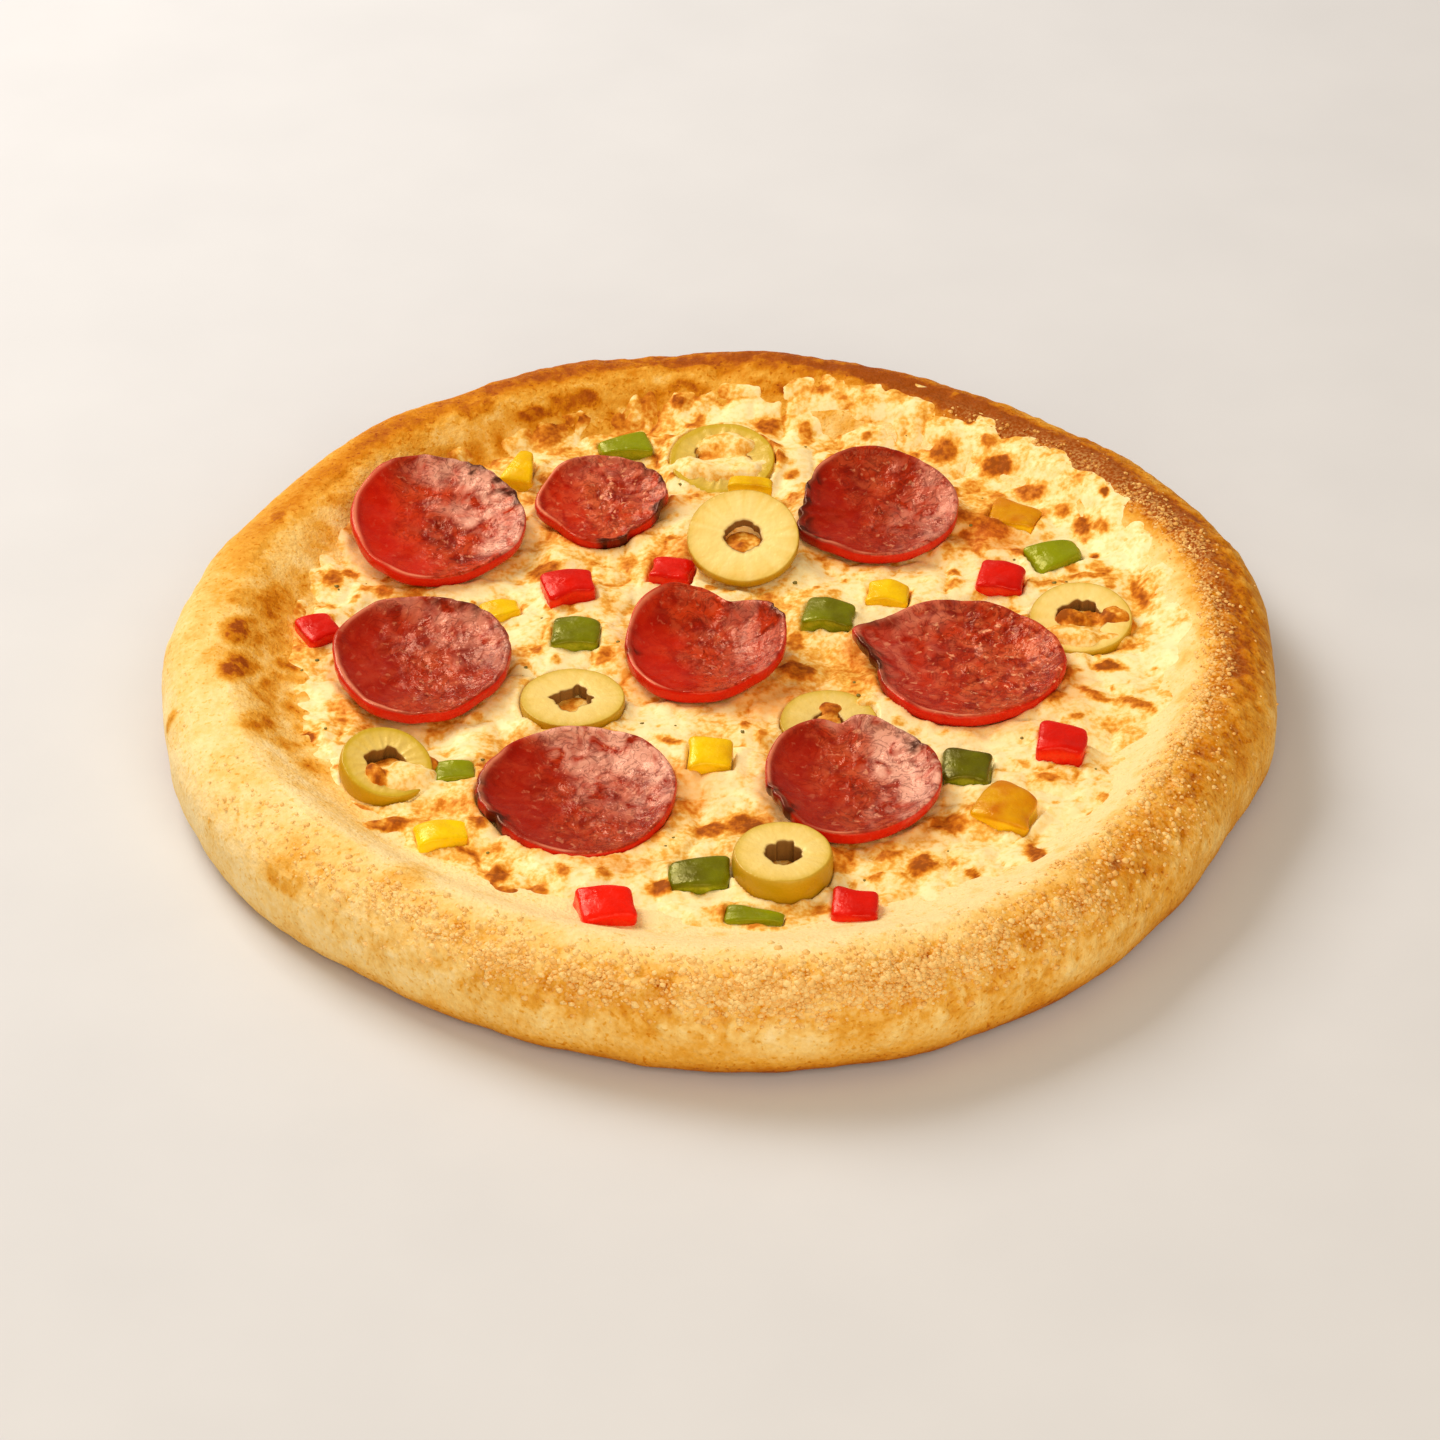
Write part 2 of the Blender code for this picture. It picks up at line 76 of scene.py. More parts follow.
def panel(name, turn, rise, away, side, power, colour):
    """A square soft light that looks at the middle of the pizza. Its direction is in degrees,
    its distance and side in metres and its power in watts."""
    lamp = bpy.data.lights.new(name, "AREA")
    lamp.size = side
    lamp.energy = power
    lamp.color = colour
    turn = math.radians(turn)
    rise = math.radians(rise)
    place = Vector((math.cos(turn) * math.cos(rise), math.sin(turn) * math.cos(rise), math.sin(rise)))
    item = bpy.data.objects.new(name, lamp)
    item.location = place * away
    item.rotation_euler = place.to_track_quat("Z", "Y").to_euler()
    bpy.context.scene.collection.objects.link(item)


panel("key", turn=136, rise=44, away=1.3, side=0.70, power=14.8, colour=(1.0, 0.93, 0.82))
panel("front", turn=-80, rise=34, away=1.6, side=1.2, power=15.0, colour=(1.0, 0.85, 0.62))

sky = bpy.data.worlds.new("sky")
sky.use_nodes = True
sky_light = sky.node_tree.nodes["Background"].inputs
sky_light["Color"].default_value = (1.0, 0.80, 0.60, 1.0)
sky_light["Strength"].default_value = 0.36
bpy.context.scene.world = sky

FLOOR_SIDE = 6000.0


def put_mesh(name, points, blocks, material, values=None):
    """A smooth piece from points in mm and blocks of faces, with named numbers kept on its points."""
    mesh = bpy.data.meshes.new(name)
    faces = [face for block in blocks for face in block.tolist()]
    mesh.from_pydata((points * MM).tolist(), [], faces)
    mesh.materials.append(material)
    mesh.shade_smooth()
    for key, numbers in (values or {}).items():
        held = mesh.attributes.new(key, "FLOAT", "POINT")
        held.data.foreach_set("value", np.ascontiguousarray(numbers, dtype=np.float32).ravel())
    piece = bpy.data.objects.new(name, mesh)
    bpy.context.scene.collection.objects.link(piece)
    return piece


def new_material(name, roughness):
    """A material with its node tree and its shader."""
    material = bpy.data.materials.new(name)
    material.use_nodes = True
    tree = material.node_tree
    shader = tree.nodes["Principled BSDF"]
    shader.inputs["Roughness"].default_value = roughness
    return material, tree, shader


def put(tree, kind, inputs=None, **settings):
    """A node with its settings; each of its inputs takes a value or another node's output."""
    made = tree.nodes.new(kind)
    for key, value in settings.items():
        setattr(made, key, value)
    for key, value in (inputs or {}).items():
        if isinstance(value, bpy.types.NodeSocket):
            tree.links.new(value, made.inputs[key])
        else:
            made.inputs[key].default_value = value
    return made


def combine(tree, kind, first, second):
    """The sum, difference or product of two numbers, kept between 0 and 1."""
    made = put(tree, "ShaderNodeMath", {0: first, 1: second}, operation=kind, use_clamp=True)
    return made.outputs[0]


def mix(tree, share, first, second):
    """A colour between two colours."""
    made = put(tree, "ShaderNodeMix", {0: share, 6: first, 7: second}, data_type="RGBA")
    return made.outputs[2]


def ramp(tree, share, stops):
    """A colour read from a row of stops, each a place from 0 to 1 and a colour as seen."""
    made = put(tree, "ShaderNodeValToRGB", {"Fac": share})
    spots = made.color_ramp.elements
    for place, colour in stops[2:]:
        spots.new(place)
    for spot, (place, colour) in zip(spots, sorted(stops)):
        spot.position = place
        spot.color = tint(*colour)
    return made.outputs["Color"]


def kept(tree, key):
    """A number kept on the points of the mesh."""
    return put(tree, "ShaderNodeAttribute", attribute_name=key).outputs["Fac"]


# Mottle: a cloudy mask, 0 to 1, whose patches are about `Size` mm across
mottle_group = bpy.data.node_groups.new("mottle", "ShaderNodeTree")
for key, start in (("Size", 5.0), ("Detail", 3.0), ("Low", 0.35), ("High", 0.65), ("Warp", 0.0)):
    socket = mottle_group.interface.new_socket(key, in_out="INPUT", socket_type="NodeSocketFloat")
    socket.default_value = start
mottle_group.interface.new_socket("Mask", in_out="OUTPUT", socket_type="NodeSocketFloat")
asked = mottle_group.nodes.new("NodeGroupInput").outputs
given = mottle_group.nodes.new("NodeGroupOutput")
spot_place = put(mottle_group, "ShaderNodeTexCoord").outputs["Object"]
spot_scale = put(mottle_group, "ShaderNodeMath", {0: 1 / MM, 1: asked["Size"]}, operation="DIVIDE")
cloudy = put(
    mottle_group,
    "ShaderNodeTexNoise",
    {
        "Vector": spot_place,
        "Scale": spot_scale.outputs[0],
        "Detail": asked["Detail"],
        "Distortion": asked["Warp"],
    },
)
clear = put(
    mottle_group,
    "ShaderNodeMapRange",
    {"Value": cloudy.outputs["Fac"], "From Min": asked["Low"], "From Max": asked["High"]},
)
mottle_group.links.new(clear.outputs["Result"], given.inputs["Mask"])


def mottle(tree, size, low=0.35, high=0.65, detail=3.0, warp=0.0):
    """The mottle mask placed in a material with its own values."""
    made = put(tree, "ShaderNodeGroup", node_tree=mottle_group)
    values = {"Size": size, "Low": low, "High": high, "Detail": detail, "Warp": warp}
    for key, value in values.items():
        made.inputs[key].default_value = value
    return made.outputs["Mask"]


def relief(tree, shader, height, depth, under=None):
    """Fine bumps in a surface, `depth` mm deep, which may lie on coarser ones."""
    inputs = {"Strength": 1.0, "Distance": depth * MM, "Height": height}
    if under is not None:
        inputs["Normal"] = under
    made = put(tree, "ShaderNodeBump", inputs)
    tree.links.new(made.outputs["Normal"], shader.inputs["Normal"])
    return made.outputs["Normal"]


floor_finish, tree, shader = new_material("floor", 0.8)
floor_grain = mottle(tree, 40.0, 0.2, 0.8)
floor_shade = mix(tree, floor_grain, tint(212, 217, 228), tint(217, 222, 233))
tree.links.new(floor_shade, shader.inputs["Base Color"])
floor_half = FLOOR_SIDE / 2
floor_points = np.array([(-1, -1, 0), (1, -1, 0), (1, 1, 0), (-1, 1, 0)]) * floor_half
floor = put_mesh("floor", floor_points, [np.array([[0, 1, 2, 3]])], floor_finish)


# Crust: raised wheat dough baked in a deep round pan. The flat base is pressed by the pan,
# and the edge has risen into a thick rim, pale gold on the left and browner on the right and
# at the back, blistered on its inner slope.
RADIUS = 125.5
RIM_HALF_WIDTH = 13.3
SIDE_POWER_LOW = 3.2
SIDE_POWER_HIGH = 2.2
SLOPE_FOOT = 95.0
OUTLINE_WAVES = ((2, 0.9, 90), (3, 1.0, 46), (4, 1.3, 13), (5, 0.5, 2))
SHOULDER = (1.2, 20, 9)
RIM_HEIGHT = 25.0
CREST_WAVES = ((4, 0.5, 20), (7, 0.45, 75), (11, 0.3, 10))
CRUST_RIPPLE = 0.28
CRUST_RIPPLE_LENGTH = 38.0
CHEESE_LEVEL = 17.0
CHEESE_RADIUS = 100.5
CHEESE_WAVES = ((1, 3.6, 50), (5, 0.7, 12), (9, 0.6, 33))
ROUND = 900                 # points round the crust
SIDE_STEPS = 58
SLOPE_STEPS = 34
HIDDEN_FOOT = 84.0          # the slope goes on in, under the cheese, to this radius
BED_DEPTH = 3.4             # the crust's bed below the cheese's surface
SINK_DEPTH = 2.6            # how far the slope sinks below the cheese that covers it

# How brown the rim is round its circle, as bumps: a height, a direction and a spread
CREST_BROWN = (
    (0.48, 90, 48), (0.50, 20, 36), (0.38, 54, 22), (0.20, -38, 34), (0.03, -98, 34),
    (0.26, 140, 34), (-0.10, -150, 36),
)
BROWNEST = ((0.30, -86, 60), (-0.26, 42, 26))    # where the crest's brown band lies
SIDE_BROWN = ((0.42, 85, 48), (0.12, 12, 36), (-0.05, -85, 50), (-0.12, -155, 40))
SLOPE_BROWN = ((0.34, 108, 38), (0.06, 165, 34))

# The meal that sticks to the rim, on its outer side in front and on the crest on the right:
# how thick it is, its direction and spread, and its middle and half width down from the crest
MEAL_BANDS = (
    (1.0, -82, 46, 8.5, 6.5), (0.85, -14, 38, -1.5, 4.2), (0.34, 36, 24, -2.0, 4.0),
    (0.30, -130, 20, 6.0, 5.0),
)
# Where its skin is rubbly: how much, its direction and spread, and how far down from the
# crest it starts, is full, begins to fade and ends
RUBBLE_BANDS = ((1.0, -84, 60, 2, 7, 17, 25), (0.9, 2, 50, -6, -2, 8, 16), (0.5, 90, 50, -6, -2, 8, 16))


class Mark(NamedTuple):
    """A toasted spot, an oil stain or a painted shadow, placed where it is seen in the picture, its size
    in mm.
    """

    column: float
    row: float
    wide: float
    deep: float
    turn: float
    dark: float


CRUST_MARKS = (
    Mark(237, 631, 5.8, 9.0, 0, 1.25), Mark(238, 667, 6.0, 9.0, 0, 1.35), Mark(256, 640, 4.6, 8, 20, 0.60),
    Mark(255, 568, 9, 13, 20, 0.32), Mark(276, 515, 5, 6, 0, 0.72), Mark(255, 722, 8, 8, 0, 0.60),
    Mark(274, 604, 10, 15, 0, 0.58), Mark(288, 664, 6, 7, 0, 0.62), Mark(171, 699, 2, 3, 0, 0.70),
    Mark(222, 655, 10, 9, -20, 0.34), Mark(243, 598, 8, 9, 30, 0.44), Mark(268, 690, 7, 12, 0, 0.48),
    Mark(573, 400, 15, 11, 10, 0.62), Mark(629, 388, 16, 8, 0, 0.50), Mark(686, 391, 14, 10, 0, 0.58),
    Mark(772, 388, 12, 9, 0, 0.58), Mark(534, 415, 9, 6, 20, 0.85), Mark(478, 409, 12, 8, 30, 0.50),
    Mark(640, 414, 9, 7, 0, 0.45), Mark(959, 391, 4, 4, 0, 0.95), Mark(1043, 446, 4, 4, 0, 0.70),
    Mark(1066, 441, 4, 3, 0, 0.75), Mark(277, 858, 16, 14, 30, 0.36), Mark(345, 908, 1.6, 1.8, 0, 0.95),
    Mark(402, 879, 12, 8, 30, 0.36), Mark(415, 942, 9, 6, 20, 0.42), Mark(493, 957, 14, 9, 0, 0.34),
    Mark(553, 972, 12, 8, 0, 0.36), Mark(1142, 916, 2.4, 3, 0, 0.60), Mark(505, 966, 9, 7, 0, 0.34),
    Mark(338, 500, 10, 6, 45, 0.35), Mark(420, 425, 12, 7, 35, 0.40), Mark(352, 700, 3, 3, 0, 0.30),
)


def turned(x, y, turn):
    """x and y as measured along and across a direction, in degrees."""
    way = math.radians(turn)
    return x * math.cos(way) + y * math.sin(way), y * math.cos(way) - x * math.sin(way)


def waves(turn, terms):
    """Sum of cosines round a circle: each term is a count, a height and a peak in degrees."""
    total = np.zeros(np.shape(turn))
    for count, height, peak in terms:
        total = total + height * np.cos(count * (turn - math.radians(peak)))
    return total


def bump(turn, way, spread):
    """One smooth bump round a circle: 1 at the direction `way`, fading over `spread`."""
    away = np.angle(np.exp(1j * (turn - math.radians(way))))
    return np.exp(-(away / math.radians(spread)) ** 2)


def bumps(turn, level, terms):
    """A level and the bumps added to it: each term is a height, a direction and a spread."""
    return sum((height * bump(turn, way, spread) for height, way, spread in terms), level)


def smooth(value, low, high):
    """0 below `low`, 1 above `high`, and an S curve between them."""
    share = np.clip((value - low) / (high - low), 0, 1)
    return share * share * (3 - 2 * share)


def ripple(x, y, seed, length, height):
    """Uneven relief: eight plane waves in seeded directions, of about one wave length."""
    draw = random.Random(seed)
    count = 8
    total = np.zeros(np.shape(x))
    for _ in range(count):
        way = draw.uniform(0, math.tau)
        pitch = math.tau / (length * draw.uniform(0.75, 1.35))
        shift = draw.uniform(0, math.tau)
        total = total + np.cos(pitch * (x * math.cos(way) + y * math.sin(way)) + shift)
    return height * total / math.sqrt(count / 2)


def cloud(points, size, seed):
    """Smooth unevenness from -1 to 1: a hashed value at each corner of a lattice of cubes
    `size` mm wide, and between the corners the eight values mixed by an S curve."""
    place = points / size
    low = np.floor(place).astype(np.int64)
    part = place - low
    part = part * part * (3 - 2 * part)
    total = np.zeros(points.shape[:-1])
    for corner in range(8):
        step = np.array([corner & 1, corner >> 1 & 1, corner >> 2 & 1])
        cell = low + step
        mixed = cell[..., 0] * 73856093 ^ cell[..., 1] * 19349663 ^ cell[..., 2] * 83492791
        mixed = (mixed ^ seed * 2654435761) & 0xFFFFFFFF
        mixed = ((mixed ^ mixed >> 15) * 739982445) & 0xFFFFFFFF
        mixed = ((mixed ^ mixed >> 12) * 695872825) & 0xFFFFFFFF
        weight = np.where(step, part, 1 - part).prod(axis=-1)
        total = total + weight * (((mixed >> 8) & 0xFFFF) / 32767.5 - 1)
    return total


def outline(turn):
    """Radius of the crust at its widest."""
    size, way, spread = SHOULDER
    return RADIUS + waves(turn, OUTLINE_WAVES) + size * bump(turn, way, spread)


def crest_height(turn):
    """Height of the rim's crest."""
    return RIM_HEIGHT + waves(turn, CREST_WAVES)


def bowl(radius, turn):
    """Height of the hollow's inside: level, then rising to the crest in an S curve."""
    crest = outline(turn) - RIM_HALF_WIDTH
    return CHEESE_LEVEL + (crest_height(turn) - CHEESE_LEVEL) * smooth(radius, SLOPE_FOOT, crest)


def cheese_radius(turn):
    """Radius where the cheese ends."""
    return CHEESE_RADIUS + waves(turn, CHEESE_WAVES)


def seen_at(column, row):
    """Point of the topping that shows at a pixel: where its ray meets the hollow's inside."""
    reach = PICTURE * LENS / FILM
    ray = -view_back + np.array([1.0, 0, 0]) * (column - PICTURE / 2) / reach
    ray = ray + view_up * (PICTURE / 2 - row) / reach
    level = CHEESE_LEVEL
    for _ in range(12):
        point = view_place + ray * (level - view_place[2]) / ray[2]
        here = bowl(math.hypot(point[0], point[1]), math.atan2(point[1], point[0]))
        level = 0.5 * (level + float(here))
    return point


def marks_field(points, marks, seed, bend=1.0):
    """How dark each point is marked, by toast, stain or painted shadow: the darkest of the
    marks there. A mark is an ellipse bent by clouds of two sizes, with a dark core and a paler
    halo. On a slope it keeps the shape that it has in the picture, so the height there counts as depth."""
    wide_bend = np.stack([cloud(points, 3.4, seed), cloud(points, 3.4, seed + 1)], -1)
    fine_bend = np.stack([cloud(points, 1.5, seed + 2), cloud(points, 1.5, seed + 3)], -1)
    bent = points[..., :2] + bend * (1.5 * wide_bend + 0.7 * fine_bend)
    radius = np.hypot(points[..., 0], points[..., 1])
    level = bowl(radius, np.arctan2(points[..., 1], points[..., 0]))
    field = np.zeros(points.shape[:-1])
    for mark in marks:
        place = seen_at(mark.column, mark.row)
        x = bent[..., 0] - place[0]
        flat_y = bent[..., 1] - place[1]
        y = flat_y + (level - place[2]) / math.tan(VIEW_RISE)
        reach = np.hypot(x, flat_y) / max(mark.wide, mark.deep)
        along, across = turned(x, y, mark.turn)
        away = np.hypot(along / (mark.wide / 2), across / (mark.deep / 2))
        core = 1 - smooth(away, 0.65, 1.25)
        halo = 0.5 * (1 - smooth(away, 0.9, 2.0))
        here = np.maximum(core, halo) * (1 - smooth(reach, 0.9, 1.4))
        field = np.maximum(field, mark.dark * here)
    return field


def rim_profile(count):
    """The rim's side from its foot to its crest, as shares out and up, evenly spaced: a
    rounded square curve that is squarer below its widest than above."""
    angle = np.radians(np.linspace(-90, 90, 721))
    power = np.where(angle < 0, SIDE_POWER_LOW, SIDE_POWER_HIGH)
    out = np.abs(np.cos(angle)) ** (2 / power) - 1
    up = np.sign(angle) * np.abs(np.sin(angle)) ** (2 / power)
    steps = np.hypot(RIM_HALF_WIDTH * np.diff(out), RIM_HEIGHT / 2 * np.diff(up))
    length = np.concatenate([[0], np.cumsum(steps)])
    even = np.linspace(0, length[-1], count)
    return np.interp(even, length, out), np.interp(even, length, up)


def rings_at(radius, height, turn):
    """Rings of points from their radii and heights."""
    radius, height, turn = np.broadcast_arrays(radius, height, turn)
    return np.stack([radius * np.cos(turn), radius * np.sin(turn), height], axis=-1)


def normals_of(rings):
    """Outward direction at each point of a stack of closed rings, from its neighbours."""
    along = np.gradient(rings, axis=0)
    around = np.roll(rings, -1, axis=1) - np.roll(rings, 1, axis=1)
    normal = np.cross(around, along)
    return normal / np.linalg.norm(normal, axis=-1, keepdims=True)


def with_ends(values, first=0.0, last=0.0):
    """Numbers of a stack of rings in one row, followed by those of its two end points."""
    return np.concatenate([values.ravel(), [first, last]])


def closed_skin(rings, first, last):
    """Points and faces of a closed surface from a first end point, over rings, to a last."""
    count, around = rings.shape[:2]
    points = np.concatenate([rings.reshape(-1, 3), [first], [last]])
    here = np.arange(around)
    after = (here + 1) % around
    start = np.arange(count - 1)[:, None] * around
    far = start + around
    quads = np.stack([start + here, start + after, far + after, far + here], -1).reshape(-1, 4)
    low = np.stack([np.full(around, count * around), after, here], -1)
    top = (count - 1) * around
    high = np.stack([top + here, top + after, np.full(around, count * around + 1)], -1)
    return points, [quads, low, high]


turn = np.arange(ROUND) * math.tau / ROUND
widest = outline(turn)
crest = widest - RIM_HALF_WIDTH
share_out, share_up = (share[:, None] for share in rim_profile(SIDE_STEPS))
base_rings = rings_at(np.array([[0.3], [0.6], [0.85]]) * crest, 0.0, turn)

side_radius = widest + RIM_HALF_WIDTH * share_out
side_height = crest_height(turn) / 2 * (1 + share_up)
swell_x = side_radius * np.cos(turn) + 0.7 * side_height
swell_y = side_radius * np.sin(turn) - 0.5 * side_height
swell = ripple(swell_x, swell_y, 3, CRUST_RIPPLE_LENGTH, CRUST_RIPPLE)
side_rings = rings_at(side_radius + swell, side_height + 0.5 * swell * share_up, turn)

share_in = np.linspace(0, 1, SLOPE_STEPS + 1)[1:, None]
slope_radius = crest + (HIDDEN_FOOT - crest) * share_in
slope_flat = rings_at(slope_radius, 0.0, turn)
swell = ripple(slope_flat[..., 0], slope_flat[..., 1], 4, CRUST_RIPPLE_LENGTH, CRUST_RIPPLE)
swell = swell * np.clip((slope_radius - cheese_radius(turn)) / 11, 0, 1)
sunk = SINK_DEPTH * smooth(cheese_radius(turn) - 3 - slope_radius, 0, 9)
slope_rings = rings_at(slope_radius, bowl(slope_radius, turn) + swell - sunk, turn)
hidden_rings = rings_at(np.array([[60.0], [30.0]]), CHEESE_LEVEL - BED_DEPTH, turn)

crust_rings = np.concatenate([base_rings, side_rings, slope_rings, hidden_rings])
crust_radius = np.hypot(crust_rings[..., 0], crust_rings[..., 1])
outward = (crust_radius - crest) / RIM_HALF_WIDTH     # 0 at the crest, 1 at the widest
upper = np.ones((len(crust_rings), 1))
upper[:len(base_rings)] = 0.0
crust_toast = marks_field(crust_rings, CRUST_MARKS, 21, 0.55) * smooth(crust_rings[..., 2], 14, 17)
crust_toast = crust_toast * np.clip(0.84 + 0.36 * cloud(crust_rings, 3.0, 24), 0, 1)

# Distance along the skin in mm from the crest, outward and down; inward it is below 0
steps = np.linalg.norm(np.diff(crust_rings, axis=0), axis=-1)
past = np.concatenate([np.zeros((1, ROUND)), np.cumsum(steps, axis=0)])
down = past[len(base_rings) + SIDE_STEPS - 1] - past

meal_band = sum(
    share * bump(turn, way, spread) * np.exp(-((down - middle) / half) ** 2)
    for share, way, spread, middle, half in MEAL_BANDS
)
meal_band = np.clip(meal_band * (0.75 + 0.6 * cloud(crust_rings, 7.0, 31)), 0, 1)

# Relief of the skin in mm: lumps of three sizes, the raised toasted spots and the rubble
lumps = 0.34 * cloud(crust_rings, 13.0, 1) + 0.20 * cloud(crust_rings, 5.5, 2)
lumps = lumps + 0.075 * cloud(crust_rings, 2.3, 3) + 0.45 * crust_toast
rubble = sum(
    share * bump(turn, way, spread) * smooth(down, start, full) * (1 - smooth(down, fade, end))
    for share, way, spread, start, full, fade, end in RUBBLE_BANDS
)
rubble = np.clip(rubble + 0.10, 0, 1) * smooth(crust_rings[..., 2], 4, 10)
crumb = 0.55 * cloud(crust_rings, 3.0, 4) + 0.45 * cloud(crust_rings, 1.7, 7)
lumps = lumps + 0.80 * rubble * crumb
lumps = lumps * smooth(crust_rings[..., 2], 0.0, 2.0) * upper
crust_rings = crust_rings + lumps[..., None] * normals_of(crust_rings)
crust_rings[..., 2] = np.maximum(crust_rings[..., 2], 0.0)

# How dark each place is, from 0, cream, to 1, dark brown: the baking of a band on the outer side of
# the crest, the lower side, the inner slope, the dough beside the cheese and the foot, with painted shade
# at the foot and on the crumbs
most = bumps(turn, 0.20, BROWNEST)
bake_and_shade = bumps(turn, 0.24, CREST_BROWN) * np.exp(-((outward - most) / 0.50) ** 2)
bake_and_shade = bake_and_shade + bumps(turn, 0.20, SIDE_BROWN) * smooth(outward, 0.25, 0.95)
slope_brown = bumps(turn, 0.06, SLOPE_BROWN)
slope_brown = slope_brown * (1 + 0.7 * cloud(crust_rings, 5.0, 22) + 0.5 * cloud(crust_rings, 2.4, 23))
bake_and_shade = bake_and_shade + slope_brown * smooth(-outward, 0.1, 0.8)
speckled = 0.20 + 0.26 * cloud(crust_rings, 2.6, 27)
bake_and_shade = bake_and_shade + speckled * bump(turn, -170, 24) * smooth(-outward, 0.05, 0.5)
bake_and_shade = bake_and_shade - 0.12 * (bump(turn, -8, 50) + bump(turn, -88, 50)) * smooth(-outward, 0.0, 0.6)
near_cheese = np.exp(-((crust_radius - cheese_radius(turn) - 2) / 5.0) ** 2)
bake_and_shade = bake_and_shade + near_cheese * (0.06 + 0.20 * np.maximum(cloud(crust_rings, 3.0, 26), 0))
# The foot is browned, and darkened further with painted shade, most in front
foot_brown_and_shade = np.exp(-(crust_rings[..., 2] / 6.0) ** 2) * (0.45 + 0.55 * bump(turn, -65, 70))
bake_and_shade = bake_and_shade + 0.52 * foot_brown_and_shade + 0.07 * cloud(crust_rings, 16.0, 5) + 0.08 * cloud(crust_rings, 6.0, 6)
# Darker in the gaps between the crumbs and paler on their tops: painted shade and painted light
bake_and_shade = bake_and_shade - 0.26 * rubble * crumb
bake_and_shade = np.clip(np.maximum(bake_and_shade, crust_toast + 0.5 * bake_and_shade), 0, 1)

# Its colour is the baking and the painted shade, with fine patches, grain, crumbs and pores, and
# dust of the meal. The toasted spots are broken up into darker and paler blotches.
crust_finish, tree, shader = new_material("baked_crust", 0.72)
patches = mottle(tree, 5.0, 0.30, 0.70, 4.0)
grain = mottle(tree, 1.3, 0.30, 0.70, 2.0)
shade = combine(tree, "MULTIPLY", patches, 0.10)
shade = combine(tree, "ADD", shade, kept(tree, "bake_and_shade"))
fine = combine(tree, "MULTIPLY", grain, 0.12)
shade = combine(tree, "ADD", shade, fine)
crumbs = combine(tree, "MULTIPLY", mottle(tree, 2.4, 0.42, 0.60, 2.0), kept(tree, "rubble"))
shade = combine(tree, "ADD", shade, combine(tree, "MULTIPLY", crumbs, 0.12))
pores = mottle(tree, 1.1, 0.62, 0.70, 1.0)
shade = combine(tree, "ADD", shade, combine(tree, "MULTIPLY", pores, 0.16))
shade = combine(tree, "SUBTRACT", shade, 0.12)
blotches = combine(tree, "MULTIPLY", mottle(tree, 2.2, 0.42, 0.60, 3.0), kept(tree, "toast"))
shade = combine(tree, "SUBTRACT", shade, combine(tree, "MULTIPLY", blotches, 0.26))
CRUST_COLOURS = (
    (0.0, (254, 230, 172)),
    (1.0, (126, 46, 3)),
    (0.20, (247, 208, 126)),
    (0.40, (232, 170, 62)),
    (0.60, (209, 129, 8)),
    (0.80, (171, 85, 4)),
)
dust = combine(tree, "MULTIPLY", mottle(tree, 0.8, 0.46, 0.60, 2.0), kept(tree, "meal"))
dusted = mix(tree, dust, ramp(tree, shade, CRUST_COLOURS), tint(246, 206, 130))
tree.links.new(dusted, shader.inputs["Base Color"])
coarse = relief(tree, shader, mottle(tree, 2.2, 0.2, 0.8, 3.0), 0.22)
relief(tree, shader, mottle(tree, 0.9, 0.2, 0.8, 3.0), 0.22, coarse)
shader.inputs["Specular IOR Level"].default_value = 0.2
shader.inputs["Specular Tint"].default_value = (1.0, 0.70, 0.36, 1.0)

under_middle = [0.0, 0.0, 0.0]
bed_middle = [0.0, 0.0, CHEESE_LEVEL - BED_DEPTH]
points, blocks = closed_skin(crust_rings, under_middle, bed_middle)
numbers = {"bake_and_shade": with_ends(bake_and_shade, 0.5, 0.2), "meal": with_ends(meal_band)}
numbers.update({"rubble": with_ends(rubble), "toast": with_ends(crust_toast)})
crust_piece = put_mesh("baked_crust", points, blocks, crust_finish, numbers)
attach(crust_piece, "root")
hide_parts("crust")


# Rim meal: coarse grains of meal that the dough was rolled in, baked onto the rim. They lie
# thickest on its outer side in front and on its crest on the right. Each is a small lump
# with twenty faces, sunk a little in the crust.
GRAINS = 7600
GRAIN_LOW = 0.20            # half width of the smallest and the largest grain
GRAIN_HIGH = 0.62
GRAIN_SUNK = 0.42           # how far a grain's middle lies in the crust, as a share of its size


def lump_shape():
    """The twelve corners and twenty faces of a lump with triangles on all sides."""
    gold_and_crease_shade = (1 + math.sqrt(5)) / 2
    corners = [(a, b * gold_and_crease_shade, 0) for a in (-1, 1) for b in (-1, 1)]
    corners += [(0, a, b * gold_and_crease_shade) for a in (-1, 1) for b in (-1, 1)]
    corners += [(b * gold_and_crease_shade, 0, a) for a in (-1, 1) for b in (-1, 1)]
    corners = np.array(corners, dtype=float)
    gaps = np.linalg.norm(corners[:, None] - corners[None], axis=-1)
    near = gaps < 2.1
    faces = []
    for a, b, c in itertools.combinations(range(len(corners)), 3):
        if near[a, b] and near[b, c] and near[a, c]:
            normal = np.cross(corners[b] - corners[a], corners[c] - corners[a])
            outside = normal @ corners[a] > 0
            faces.append((a, b, c) if outside else (a, c, b))
    return corners / np.linalg.norm(corners[0]), np.array(faces)


def scatter_lumps(name, centres, sizes, squash, seed, material, values):
    """One mesh of many lumps: each is the same shape, unevenly stretched, at its own centre."""
    draw = np.random.default_rng(seed)
    corners, faces = lump_shape()
    count, each = len(centres), len(corners)
    stretch = draw.uniform(0.75, 1.3, (count, each, 1)) * np.array([1.0, 1.0, squash])
    points = centres[:, None] + sizes[:, None, None] * stretch * corners
    all_faces = (faces[None] + each * np.arange(count)[:, None, None]).reshape(-1, 3)
    kept_values = {key: np.repeat(value, each) for key, value in values.items()}
    return put_mesh(name, points.reshape(-1, 3), [all_faces], material, kept_values)


